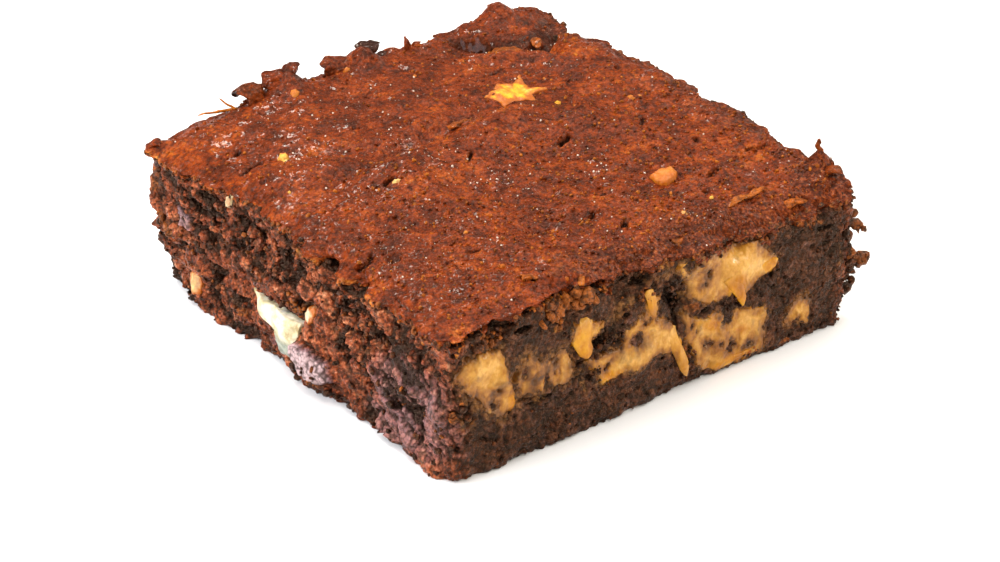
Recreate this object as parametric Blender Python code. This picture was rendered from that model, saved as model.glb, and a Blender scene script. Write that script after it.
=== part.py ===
"""A square of chestnut brownie, cut from a tray: a dense chocolate block under a thin baked crust,
with ribbons of chestnut cream running through it and pieces of chestnut in it.

Run it with: blender --background --python part.py

Lengths are in millimetres until a mesh is written, which turns them to metres. X runs along the
cut front face, Y from front to back, Z up. The block stands on Z = 0, centred on the Z axis.
"""

import itertools
import math

import bmesh
import bpy
import numpy as np
from mathutils import Euler, Matrix

MM = 0.001

# Driving dimensions of the block
SIDE = 70.0
WIDEST = 73.0
GRID_CUTS = (35, 35, 10)
EDGE_RADIUS = 2.2
SHOULDER_HEIGHT = 1.1
SHOULDER_WIDTH = 2.4
FOOT_LIFT = 0.5
CLEARANCE = 0.4

# Height of the crust's rim above the plate, as (place along the edge, height)
FRONT_RIM = ((-35, 21.2), (-15, 21.8), (-8, 20.6), (0, 20.8), (10, 19.8), (20, 19.2), (28, 18.6), (35, 19.8))
LEFT_RIM = ((-35, 21.2), (-27, 20.4), (-15, 20.6), (-5, 22.0), (5, 22.2), (20, 21.8), (35, 20.6))
BACK_RIM = ((-35, 20.6), (-27, 22.2), (-14, 23.6), (-5, 23.8), (8, 24.0), (20, 24.6), (28, 25.6), (35, 24.8))
RIGHT_RIM = ((-35, 19.8), (-30, 21.6), (-15, 22.6), (0, 23.8), (16, 24.2), (28, 23.4), (35, 24.8))

# Soft swells and folds of the crust, as (path, height, half width); a fold has a height below zero
SWELLS = (
    (((-30, 11), (-18, 2.5), (-10, 1.5), (2, 2), (8, 1.5)), 0.8, 3.0),
    (((-28, 17), (-17, 8.5), (-6, 7.5)), -0.6, 2.4),
    (((0, 5.5), (11, 3), (16, -3), (20, -9)), 0.6, 2.8),
    (((-26, -14), (-8, -16), (6, -24)), 0.4, 4.0),
    (((17.5, 31), (20.5, 26), (24, 23), (28.5, 23.2), (32, 26)), -2.3, 1.7),
    (((27, 23), (25.5, 18)), -1.3, 1.5),
    (((15, 24), (20, 20.5), (23, 18)), 0.9, 1.6),
)

# Crags where the crust broke or curled up at the rim, as (x, y, height, radius)
CRAGS = (
    (-12.0, 33.4, 2.7, 2.6),
    (1.5, 33.4, 2.9, 2.4),
    (7.2, 34.2, 1.4, 1.8),
    (26.5, 33.6, 2.4, 2.2),
    (34.0, -28.7, 2.6, 1.3),
    (-33.8, 33.6, 0.9, 2.0),
)

# How rough each wall is: the front and back were cut with a knife, the others tore
WALLS = {
    "front": {"axis": 1, "sign": -1, "crumbs": 0.5, "waves": 0.3},
    "back": {"axis": 1, "sign": 1, "crumbs": 0.6, "waves": 0.4},
    "left": {"axis": 0, "sign": -1, "crumbs": 1.0, "waves": 0.7},
    "right": {"axis": 0, "sign": 1, "crumbs": 1.1, "waves": 0.7},
}

# Hollows (depth above zero) and lumps (below zero) in a wall: (wall, place along it, height, radius, depth)
WALL_MARKS = (
    ("front", -28.0, 19.6, 2.2, 1.5),
    ("front", -16.5, 20.4, 2.6, 1.6),
    ("front", -6.5, 18.2, 2.4, 1.4),
    ("front", 3.6, 13.6, 2.4, 1.3),
    ("front", 13.5, 18.4, 1.8, 0.8),
    ("left", -20.2, 13.4, 2.4, 1.5),
    ("left", -9.5, 18.8, 2.6, 1.5),
    ("left", -17.0, 6.8, 1.8, 1.0),
    ("left", 6.0, 17.4, 2.6, 1.3),
    ("left", 18.4, 14.6, 2.6, 1.2),
    ("left", -7.0, 6.4, 3.6, -1.0),
    ("left", 31.0, 3.0, 3.6, 1.6),
    ("right", -31.0, 13.5, 2.0, -1.4),
    ("right", -32.0, 7.0, 2.2, -1.5),
    ("right", -27.0, 10.0, 2.2, 1.4),
    ("right", -4.0, 16.0, 2.8, 1.4),
    ("right", 14.0, 9.0, 3.0, 1.3),
    ("right", 25.0, 17.0, 2.4, 1.2),
    ("back", -22.0, 19.4, 2.4, 1.4),
    ("back", 6.0, 20.6, 2.6, 1.5),
    ("back", 24.0, 12.0, 2.2, 1.0),
)

# Chestnut cream: centre (x, z), half width and half height of each ribbon where it shows at the
# front, its tilt in degrees, and where its centre has moved to at the back
RIBBONS = {
    "chestnut_cream_1": {"front": (-28.2, 12.8), "half": (3.8, 4.2), "tilt": -25, "back": (-25.6, 10.5)},
    "chestnut_cream_2": {"front": (-19.4, 12.0), "half": (2.7, 2.2), "tilt": -8, "back": (-17.4, 14.4)},
    "chestnut_cream_3": {"front": (-12.6, 13.9), "half": (1.9, 2.2), "tilt": 10, "back": (-10.6, 7.6)},
    "chestnut_cream_4": {"front": (-3.6, 8.0), "half": (5.9, 2.2), "tilt": 20, "back": (0.2, 12.6)},
    "chestnut_cream_5": {"front": (12.6, 14.5), "half": (6.8, 3.1), "tilt": -14, "back": (16.4, 15.4)},
    "chestnut_cream_6": {"front": (12.4, 5.4), "half": (5.9, 2.9), "tilt": 4, "back": (13.4, 6.0)},
    "chestnut_cream_7": {"front": (25.6, 4.7), "half": (2.3, 2.1), "tilt": 20, "back": (26.8, 8.6)},
}
RIBBON_SIDES = 12
RIBBON_CUTS = 11
RIBBON_BOW = 3.4
RIBBON_END = 34.7
CHANNEL_END = 38.5

# Chestnut pieces: the surface that each shows in, its place there, how deep its centre lies under that
# surface, its half sizes, its turn in degrees, and how far out the knife left it, if it was cut
CHESTNUTS = {
    "chestnut_side": {
        "in": "left", "at": (3.0, 5.9), "depth": 1.4, "half": (3.8, 5.4, 3.1), "turn": (20, 0, 0), "cut": 35.2,
    },
    "chestnut_crumb_pale": {
        "in": "left", "at": (-5.9, 12.6), "depth": 0.5, "half": (1.5, 1.9, 1.3), "turn": (30, 0, 0), "cut": None,
    },
    "chestnut_crumb_tan": {
        "in": "left", "at": (23.2, 4.2), "depth": 0.5, "half": (1.7, 1.7, 2.1), "turn": (15, 0, 0), "cut": None,
    },
    "chestnut_top_back": {
        "in": "crust", "at": (11.4, 10.8), "depth": 1.0, "half": (4.1, 3.6, 1.9), "turn": (0, 0, 25), "cut": None,
    },
    "chestnut_top_front": {
        "in": "crust", "at": (14.2, -19.6), "depth": 0.4, "half": (2.0, 1.5, 1.3), "turn": (0, 0, -20), "cut": None,
    },
}

# sRGB colour, roughness
FINISHES = {
    "baked_crumb": ("4a2113", 0.8),
    "chestnut_cream": ("c08a45", 0.35),
    "chestnut": ("e3cf8c", 0.5),
}


def hashed(cells, seed):
    """A number from 0 to 1 for each whole-numbered cell, the same on every run."""
    key = (cells.astype(np.int64) * np.array((73856093, 19349663, 83492791))).sum(axis=-1)
    key = key + seed * 2654435761
    key = ((key ^ (key >> 15)) * 2246822519) & 0xFFFFFFFF
    key = ((key ^ (key >> 13)) * 3266489917) & 0xFFFFFFFF
    return ((key ^ (key >> 16)) & 0xFFFFFF) / 0xFFFFFF


def soft_noise(points, size, seed):
    """Soft noise from -1 to 1, in waves of about the given size."""
    low = np.floor(points / size)
    share = points / size - low
    share = share * share * (3 - 2 * share)
    total = np.zeros(len(points))
    for corner in itertools.product((0, 1), repeat=3):
        weight = np.where(corner, share, 1 - share).prod(axis=1)
        total += weight * hashed(low + corner, seed)
    return 2 * total - 1


def crumb_noise(points, size, seed):
    """Rounded crumbs of about the given size: 1 at the middle of each, near 0 in the cracks."""
    low = np.floor(points / size)
    nearest = np.full(len(points), 9.0)
    for step in itertools.product((-1, 0, 1), repeat=3):
        cell = low + step
        spot = cell + np.stack([hashed(cell, seed + part) for part in range(3)], axis=1)
        nearest = np.minimum(nearest, np.linalg.norm(spot - points / size, axis=1))
    return 1 - np.clip(nearest, 0, 1)


def along_profile(profile, place):
    """The height of a rim profile at each place along its edge."""
    stations, heights = zip(*profile)
    return np.interp(place, stations, heights)


def distance_to_path(x, y, path):
    """How far each point lies from a bent line on the crust."""
    nearest = np.full(len(x), 1e9)
    for (ax, ay), (bx, by) in itertools.pairwise(path):
        length2 = (bx - ax) ** 2 + (by - ay) ** 2
        share = np.clip(((x - ax) * (bx - ax) + (y - ay) * (by - ay)) / length2, 0, 1)
        away = np.hypot(x - ax - share * (bx - ax), y - ay - share * (by - ay))
        nearest = np.minimum(nearest, away)
    return nearest


def rim_surface(x, y):
    """A Coons patch: it meets the four rim profiles and blends them over the square."""
    u = x / SIDE + 0.5
    v = y / SIDE + 0.5
    between_walls = (1 - u) * along_profile(LEFT_RIM, y) + u * along_profile(RIGHT_RIM, y)
    between_cuts = (1 - v) * along_profile(FRONT_RIM, x) + v * along_profile(BACK_RIM, x)
    front_corners = (1 - u) * FRONT_RIM[0][1] + u * FRONT_RIM[-1][1]
    back_corners = (1 - u) * BACK_RIM[0][1] + u * BACK_RIM[-1][1]
    return between_walls + between_cuts - (1 - v) * front_corners - v * back_corners


def crust_height(x, y):
    """Height of the crust's top over the plate, at each (x, y) of the square."""
    inside = SIDE / 2 - np.maximum(np.abs(x), np.abs(y))
    height = rim_surface(x, y)
    height += SHOULDER_HEIGHT * (1 - np.exp(-((np.clip(inside, 0, None) / SHOULDER_WIDTH) ** 2)))
    for path, rise, half_width in SWELLS:
        height += rise * np.exp(-((distance_to_path(x, y, path) / half_width) ** 2))
    for cx, cy, rise, radius in CRAGS:
        height += rise * np.exp(-(((x - cx) ** 2 + (y - cy) ** 2) / radius**2))
    flat = np.stack([x, y, np.zeros(len(x))], axis=1)
    return height + 0.35 * soft_noise(flat, 7.0, 11) + 0.25 * soft_noise(flat, 3.1, 12)


def wall_relief(points, name):
    """How far a wall stands out of its plane at each point: waves, crumbs, and its own marks."""
    wall = WALLS[name]
    seed = 20 + 3 * list(WALLS).index(name)
    relief = wall["waves"] * soft_noise(points, 11.0, seed)
    relief += wall["crumbs"] * (1.6 * crumb_noise(points, 4.4, seed + 1) - 0.8)
    relief += 0.5 * wall["crumbs"] * soft_noise(points, 2.6, seed + 2)
    place = points[:, 1 - wall["axis"]]
    for mark_wall, at, height, radius, depth in WALL_MARKS:
        if mark_wall == name:
            away2 = (place - at) ** 2 + (points[:, 2] - height) ** 2
            relief -= depth * np.exp(-away2 / radius**2)
    return relief


def rounded_square(x, y):
    """Pulls the square's four upright edges in to a radius."""
    reach = SIDE / 2 - EDGE_RADIUS
    past = np.stack([np.abs(x) - reach, np.abs(y) - reach], axis=1).clip(0, None)
    length = np.linalg.norm(past, axis=1)
    longest = past.max(axis=1)
    shrink = np.where(length > 0, longest / np.where(length > 0, length, 1), 1)
    pulled = past * shrink[:, None]
    new_x = np.sign(x) * (np.minimum(np.abs(x), reach) + pulled[:, 0])
    new_y = np.sign(y) * (np.minimum(np.abs(y), reach) + pulled[:, 1])
    return new_x, new_y


def shaped(cage):
    """Turns points of the unit cage, -0.5 to 0.5 each way, into the brownie's surface."""
    x, y = rounded_square(cage[:, 0] * SIDE, cage[:, 1] * SIDE)
    level = cage[:, 2] + 0.5
    height = crust_height(x, y)
    solid = np.stack([x, y, level * height], axis=1)
    moved = solid.copy()
    for name, wall in WALLS.items():
        side = wall["sign"] * cage[:, wall["axis"]] * 2
        share = np.clip((side - 0.9) / 0.1, 0, 1)
        moved[:, wall["axis"]] += wall["sign"] * share * wall_relief(solid, name)
    moved[:, :2] = moved[:, :2].clip(-WIDEST / 2, WIDEST / 2)
    at_rim = (np.abs(cage[:, :2]).max(axis=1) > 0.499) & (level < 0.001)
    moved[at_rim, 2] = FOOT_LIFT * (0.5 + 0.5 * soft_noise(solid[at_rim], 4.0, 9))
    return moved


def new_object(name, mesh_builder, collection, finish):
    """Writes a bmesh, built in millimetres, as a named object in metres."""
    bmesh.ops.scale(mesh_builder, vec=(MM, MM, MM), verts=mesh_builder.verts)
    bmesh.ops.recalc_face_normals(mesh_builder, faces=mesh_builder.faces)
    mesh = bpy.data.meshes.new(name)
    mesh_builder.to_mesh(mesh)
    mesh_builder.free()
    item = bpy.data.objects.new(name, mesh)
    collection.objects.link(item)
    if finish:
        mesh.materials.append(finish)
    return item


def move_points(mesh_builder, mover):
    """Runs a function of an array of points over all of a bmesh's points."""
    rest = np.array([vertex.co for vertex in mesh_builder.verts])
    for vertex, place in zip(mesh_builder.verts, mover(rest)):
        vertex.co = place


def make_block(collection, finish):
    """The brownie itself: a cube cut into a grid, its points moved to the baked shape."""
    block = bmesh.new()
    bmesh.ops.create_cube(block, size=1.0)
    for axis, cuts in enumerate(GRID_CUTS):
        lengthwise = [e for e in block.edges if abs(e.verts[0].co[axis] - e.verts[1].co[axis]) > 0.5]
        bmesh.ops.subdivide_edges(block, edges=lengthwise, cuts=cuts, use_grid_fill=True)
    move_points(block, shaped)
    underside = [f for f in block.faces if max(v.co.z for v in f.verts) < 1e-6]
    bmesh.ops.dissolve_faces(block, faces=underside, use_verts=True)
    return new_object("brownie", block, collection, finish)


def ribbon_points(ribbon, seed, grow):
    """The function that bends a straight rod, along Y from -0.5 to 0.5, into a ribbon of cream.

    With grow it makes the channel round the ribbon, which runs straight on at both ends.
    """
    last = RIBBON_CUTS + 1
    if grow:
        steps = (0, 1, last + 1, last + 2)
        stations = (-CHANNEL_END, -RIBBON_END, RIBBON_END, CHANNEL_END)
    else:
        steps = (0, last)
        stations = (-RIBBON_END, RIBBON_END)

    def bend(rod):
        turn = np.arctan2(rod[:, 2], rod[:, 0])
        y = np.interp((rod[:, 1] + 0.5) * steps[-1], steps, stations)
        share = (y / (2 * RIBBON_END) + 0.5).clip(0, 1)
        rough = 1 + 0.10 * np.cos(2 * turn + seed + 3 * share) + 0.08 * np.cos(3 * turn + 2 * seed - 5 * share)
        rough += 0.05 * np.cos(5 * turn + seed * 1.7 + 4 * share)
        rough *= 1 - 0.16 * np.sin(math.pi * share) ** 2
        wide = (ribbon["half"][0] * rough + grow) * np.cos(turn)
        tall = (ribbon["half"][1] * rough + grow) * np.sin(turn)
        tilt = math.radians(ribbon["tilt"]) * (1 - share)
        centre_x = ribbon["front"][0] + share * (ribbon["back"][0] - ribbon["front"][0])
        centre_x = centre_x + RIBBON_BOW * np.sin(math.pi * share)
        centre_z = ribbon["front"][1] + share * (ribbon["back"][1] - ribbon["front"][1])
        x = centre_x + wide * np.cos(tilt) - tall * np.sin(tilt)
        z = centre_z + wide * np.sin(tilt) + tall * np.cos(tilt)
        middle = np.hypot(rod[:, 0], rod[:, 2]) < 1e-6
        return np.stack([np.where(middle, centre_x, x), y, np.where(middle, centre_z, z)], axis=1)

    return bend


def make_ribbon(name, index, collection, finish, grow=0.0):
    """A ribbon of chestnut cream, or with grow the channel that it runs in: a rod, cut and bent."""
    rod = bmesh.new()
    bmesh.ops.create_cone(rod, cap_ends=True, segments=RIBBON_SIDES, radius1=1, radius2=1, depth=1)
    bmesh.ops.rotate(rod, verts=rod.verts, matrix=Matrix.Rotation(math.pi / 2, 3, "X"))
    lengthwise = [e for e in rod.edges if abs(e.verts[0].co.y - e.verts[1].co.y) > 0.5]
    bmesh.ops.subdivide_edges(rod, edges=lengthwise, cuts=RIBBON_CUTS + (2 if grow else 0))
    move_points(rod, ribbon_points(RIBBONS[name], index, grow))
    return new_object(name if not grow else name + "_channel", rod, collection, finish)


def chestnut_centre(piece):
    """The middle of a chestnut piece, set back from the crust or wall that it shows in."""
    if piece["in"] == "crust":
        x, y = piece["at"]
        top = crust_height(np.array([x]), np.array([y]))[0]
        return np.array((x, y, top - piece["depth"]))
    wall = WALLS[piece["in"]]
    centre = np.empty(3)
    centre[wall["axis"]] = wall["sign"] * SIDE / 2
    centre[1 - wall["axis"]], centre[2] = piece["at"]
    stands_out = wall_relief(centre[None, :], piece["in"])[0]
    centre[wall["axis"]] += wall["sign"] * (stands_out - piece["depth"])
    return centre


def chestnut_points(piece, seed, grow):
    """The function that turns a unit ball into a broken piece of chestnut."""
    half = np.array(piece["half"]) + grow
    turn = Euler([math.radians(angle) for angle in piece["turn"]]).to_matrix()
    centre = chestnut_centre(piece)

    def break_off(ball):
        rough = 1 + 0.16 * soft_noise(ball, 0.9, seed) + 0.08 * soft_noise(ball, 0.45, seed + 1)
        place = (ball * rough[:, None] * half) @ np.array(turn).T + centre
        if piece["cut"] and not grow:
            wall = WALLS[piece["in"]]
            outward = place[:, wall["axis"]] * wall["sign"]
            place[:, wall["axis"]] = wall["sign"] * np.minimum(outward, piece["cut"])
        return place

    return break_off


def make_chestnut(name, index, collection, finish, grow=0.0):
    """A piece of chestnut, or with grow the slightly larger hollow that it sits in."""
    ball = bmesh.new()
    bmesh.ops.create_icosphere(ball, subdivisions=2, radius=1)
    move_points(ball, chestnut_points(CHESTNUTS[name], 60 + index, grow))
    return new_object(name if not grow else name + "_hollow", ball, collection, finish)


def make_finish(name):
    """A Principled material from the table of finishes, its sRGB colour turned to linear."""
    code, roughness = FINISHES[name]
    parts = [int(code[i : i + 2], 16) / 255 for i in (0, 2, 4)]
    linear = [((part + 0.055) / 1.055) ** 2.4 for part in parts]
    finish = bpy.data.materials.new(name)
    finish.use_nodes = True
    shader = finish.node_tree.nodes["Principled BSDF"]
    shader.inputs["Base Color"].default_value = (*linear, 1)
    shader.inputs["Roughness"].default_value = roughness
    shader.inputs["Metallic"].default_value = 0
    return finish


def new_collection(name):
    collection = bpy.data.collections.new(name)
    bpy.context.scene.collection.children.link(collection)
    return collection


def main():
    for item in list(bpy.data.objects):
        bpy.data.objects.remove(item)
    food = new_collection("chestnut_brownie")
    cutters = new_collection("cutters")
    finishes = {name: make_finish(name) for name in FINISHES}

    block = make_block(food, finishes["baked_crumb"])
    for index, name in enumerate(RIBBONS):
        make_ribbon(name, index, food, finishes["chestnut_cream"])
        make_ribbon(name, index, cutters, None, grow=CLEARANCE)
    for index, name in enumerate(CHESTNUTS):
        make_chestnut(name, index, food, finishes["chestnut"])
        make_chestnut(name, index, cutters, None, grow=CLEARANCE)

    for cutter in cutters.objects:
        cutter.hide_render = True
        cutter.display_type = "WIRE"
    cut = block.modifiers.new("room for cream and chestnuts", "BOOLEAN")
    cut.operation = "DIFFERENCE"
    cut.operand_type = "COLLECTION"
    cut.collection = cutters
    cut.solver = "MANIFOLD"


main()
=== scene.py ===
# The finished look of a square of chestnut brownie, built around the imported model.
# Lengths are in millimetres until a mesh is written, which turns them to metres.
# X runs along the cut front face, Y from front to back, Z up; the brownie stands on Z = 0.

import itertools
import math

import bpy
import numpy as np
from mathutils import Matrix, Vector


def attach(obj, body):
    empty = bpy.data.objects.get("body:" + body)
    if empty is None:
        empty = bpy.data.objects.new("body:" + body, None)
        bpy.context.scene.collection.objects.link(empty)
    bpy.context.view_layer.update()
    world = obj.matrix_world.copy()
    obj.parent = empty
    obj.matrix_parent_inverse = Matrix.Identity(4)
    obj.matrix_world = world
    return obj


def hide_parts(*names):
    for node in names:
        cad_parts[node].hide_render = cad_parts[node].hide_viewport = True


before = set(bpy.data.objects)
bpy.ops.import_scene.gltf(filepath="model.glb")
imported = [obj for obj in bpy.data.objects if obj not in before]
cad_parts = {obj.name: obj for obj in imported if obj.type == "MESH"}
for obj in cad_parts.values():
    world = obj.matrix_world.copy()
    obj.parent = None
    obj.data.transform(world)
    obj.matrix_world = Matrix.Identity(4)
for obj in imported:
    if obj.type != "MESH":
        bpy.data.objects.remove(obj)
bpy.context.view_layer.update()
print("the packed model is loaded:", len(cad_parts), "nodes")

mm = 0.001


# Noise

# a number from 0 to 1 for each whole-numbered cell, the same on every run
def hashed(cells, seed):
    key = (cells.astype(np.int64) * np.array((73856093, 19349663, 83492791))).sum(axis=-1)
    key = key + seed * 2654435761
    key = ((key ^ (key >> 15)) * 2246822519) & 0xFFFFFFFF
    key = ((key ^ (key >> 13)) * 3266489917) & 0xFFFFFFFF
    return ((key ^ (key >> 16)) & 0xFFFFFF) / 0xFFFFFF


# value noise from -1 to 1: hashed corners of a cubic lattice, blended by 3t^2 - 2t^3 along each axis
def softNoise(points, size, seed):
    low = np.floor(points / size)
    share = points / size - low
    share = share * share * (3 - 2 * share)
    total = np.zeros(len(points))
    for corner in itertools.product((0, 1), repeat=3):
        weight = np.where(corner, share, 1 - share).prod(axis=1)
        total += weight * hashed(low + corner, seed)
    return 2 * total - 1


# layers of soft noise, each half as large and a little over half as strong as the one before
def layeredNoise(points, size, seed, layers=3):
    weights = 0.55 ** np.arange(layers)
    total = sum(w * softNoise(points, size / 2**k, seed + k) for k, w in enumerate(weights))
    return total / weights.sum()


# one seeded point in each cell of a lattice: the distance to the nearest and the next one, in cells,
# the way from the nearest one in millimetres, and a random tone that each cell keeps
def nearestCrumb(points, size, seed):
    scaled = points / size
    low = np.floor(scaled)
    nearest = np.full(len(points), 9.0)
    second = nearest.copy()
    away = np.zeros_like(points)
    tone = np.zeros(len(points))
    for step in itertools.product((-1, 0, 1), repeat=3):
        cell = low + step
        spot = cell + np.stack([hashed(cell, seed + part) for part in range(3)], axis=1)
        offset = scaled - spot
        distance = np.linalg.norm(offset, axis=1)
        closer = distance < nearest
        second = np.where(closer, nearest, np.minimum(second, distance))
        nearest = np.where(closer, distance, nearest)
        away[closer] = offset[closer]
        tone[closer] = hashed(cell[closer], seed + 3)
    return {"near": nearest, "next": second, "away": away * size, "tone": tone}


# 0 below low, 1 above high, 3t^2 - 2t^3 between
def smoothStep(low, high, value):
    share = np.clip((value - low) / (high - low), 0, 1)
    return share * share * (3 - 2 * share)


# columns joined into points; a single number serves every point
def together(*parts):
    return np.stack(np.broadcast_arrays(*parts), axis=-1)


# Meshes

# quads of a grid of rows by columns whose points are numbered row by row; wrap joins the last column to
# the first
def gridQuads(rows, columns, start=0, wrap=False):
    across = columns if wrap else columns - 1
    i, j = np.meshgrid(np.arange(rows - 1), np.arange(across), indexing="ij")
    right = (j + 1) % columns
    corners = (i * columns + j, i * columns + right, (i + 1) * columns + right, (i + 1) * columns + j)
    return start + np.stack([c.ravel() for c in corners], axis=1)


# triangles from a closed loop of points to one middle point
def fanTriangles(loop, middle):
    return np.stack([loop, np.roll(loop, -1), np.full(len(loop), middle)], axis=1)


# quads and triangles of a tube of rings that the first and the last point close
def tubeFaces(rings, columns):
    last = 1 + rings * columns
    low = fanTriangles(1 + np.arange(columns), 0)
    high = fanTriangles(last - columns + np.arange(columns), last)
    return [gridQuads(rings, columns, 1, wrap=True), np.concatenate([low[:, ::-1], high])]


# a grid of rings, flattened, with its first and its last ring each drawn together into one point or value
def closeRings(grid):
    inner = grid[1:-1].reshape(-1, *grid.shape[2:])
    return np.concatenate([grid[:1].mean(axis=1), inner, grid[-1:].mean(axis=1)])


# six times the volume that the faces enclose, above zero when they point outwards
def enclosed(points, faces):
    total = 0.0
    for group in faces:
        for k in range(1, group.shape[1] - 1):
            a, b, c = points[group[:, 0]], points[group[:, k]], points[group[:, k + 1]]
            total += np.einsum("ij,ij->", a, np.cross(b, c))
    return total


# tubes of rings joined into one mesh, each closed at both ends, with its faces pointing outwards
def joinTubes(tubes):
    points, quads, triangles, start = [], [], [], 0
    for tube in tubes:
        closed = closeRings(tube)
        faces = tubeFaces(len(tube) - 2, tube.shape[1])
        if enclosed(closed, faces) < 0:
            faces = [group[:, ::-1] for group in faces]
        points.append(closed)
        quads.append(faces[0] + start)
        triangles.append(faces[1] + start)
        start += len(closed)
    return np.concatenate(points), [np.concatenate(quads), np.concatenate(triangles)]


# writes points and faces as one piece: it rides on the body, stands for nodes and takes the given material
def makePiece(name, points, faces, material, nodes=(), values=None):
    if enclosed(points, faces) < 0:
        faces = [group[:, ::-1] for group in faces]
    loops = np.concatenate([group.ravel() for group in faces])
    sizes = np.concatenate([np.full(len(group), group.shape[1]) for group in faces])
    mesh = bpy.data.meshes.new(name)
    mesh.vertices.add(len(points))
    mesh.vertices.foreach_set("co", (points * mm).astype(np.float32).ravel())
    mesh.loops.add(len(loops))
    mesh.loops.foreach_set("vertex_index", loops.astype(np.int32))
    mesh.polygons.add(len(sizes))
    mesh.polygons.foreach_set("loop_start", (np.cumsum(sizes) - sizes).astype(np.int32))
    mesh.update(calc_edges=True)
    mesh.validate()
    mesh.shade_smooth()
    for key, numbers in (values or {}).items():
        layer = mesh.attributes.new(key, "FLOAT", "POINT")
        layer.data.foreach_set("value", numbers.astype(np.float32))
    mesh.materials.append(material)
    piece = bpy.data.objects.new(name, mesh)
    bpy.context.scene.collection.objects.link(piece)
    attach(piece, "root")
    if nodes:
        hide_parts(*nodes)
    print(f"  {name}: {int((sizes - 2).sum())} triangles")


# Materials

# sRGB hex to the linear colour that the shader takes
def hexColour(code):
    parts = [int(code[i : i + 2], 16) / 255 for i in (0, 2, 4)]
    return [p / 12.92 if p <= 0.04045 else ((p + 0.055) / 1.055) ** 2.4 for p in parts] + [1.0]


# adds a node and gives one of its outputs: inputs holds numbers, hex colours or other outputs for its
# sockets, stops fill a ramp with (place, colour), and the rest are the node's own properties
def addNode(tree, kind, inputs, out=0, stops=(), **properties):
    node = tree.nodes.new("ShaderNode" + kind)
    for key, value in properties.items():
        setattr(node, key, value)
    for number, (place, code) in enumerate(stops):
        element = node.color_ramp.elements[number] if number < 2 else node.color_ramp.elements.new(place)
        element.position, element.color = place, hexColour(code)
    for key, value in inputs.items():
        if isinstance(value, bpy.types.NodeSocket):
            tree.links.new(value, node.inputs[key])
        else:
            node.inputs[key].default_value = hexColour(value) if isinstance(value, str) else value
    return node.outputs[out]


# an empty material, its shader and what the shader can read: Object coordinates bent by 0.2 mm so that no
# pattern looks ruled, noises as (size in mm, detail, roughness, scale along z), and attributes, with the
# noise that makes one ragged and that noise's weight
def startMaterial(name, settings, noises=(), attributes=()):
    material = bpy.data.materials.new(name)
    material.use_nodes = True
    tree = material.node_tree
    shader = tree.nodes["Principled BSDF"]
    for key, value in settings.items():
        shader.inputs[key].default_value = value
    place = addNode(tree, "TexCoord", {}, "Object")
    bend = addNode(tree, "TexNoise", {"Vector": place, "Scale": 1000 / 0.9, "Detail": 2.0}, "Color")
    step = (0.4 * mm, 0.4 * mm, 0.4 * mm)
    where = addNode(tree, "VectorMath", {0: bend, 1: step, 2: place}, operation="MULTIPLY_ADD")
    read = {"where": where}
    for key, size, detail, roughness, upright in noises:
        spot = where
        if upright != 1:
            spot = addNode(tree, "Mapping", {"Vector": where, "Scale": (1.0, 1.0, upright)})
        inputs = {"Vector": spot, "Scale": 1000 / size, "Detail": detail, "Roughness": roughness}
        read[key] = addNode(tree, "TexNoise", inputs)
    for key, noise, weight in attributes:
        read[key] = addNode(tree, "Attribute", {}, "Fac", attribute_name=key)
        if noise:
            inputs = {0: read[noise], 1: weight, 2: read[key]}
            read[key] = addNode(tree, "Math", inputs, operation="MULTIPLY_ADD")
    return material, tree, shader, read


# colours laid over one another: each layer is (value, low, high, most, colour), and its share runs from 0
# where the value is low to most where it is high
def layColours(tree, colour, layers):
    for value, low, high, most, over in layers:
        share = addNode(tree, "MapRange", {0: value, 1: low, 2: high, 3: 0.0, 4: most})
        colour = addNode(tree, "Mix", {0: share, 6: colour, 7: over}, 2, data_type="RGBA")
    return colour


# the shader's links: colour, roughness as (value, low, high, roughness at low, roughness at high), and a
# bump as (height pattern, depth in mm)
def linkShader(tree, shader, colour, roughness, bump):
    links = {
        "Base Color": colour,
        "Roughness": addNode(tree, "MapRange", dict(enumerate(roughness))),
        "Normal": addNode(tree, "Bump", {"Height": bump[0], "Distance": bump[1] * mm}),
    }
    for key, value in links.items():
        tree.links.new(value, shader.inputs[key])


# The block's main form, as in the solid model

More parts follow.
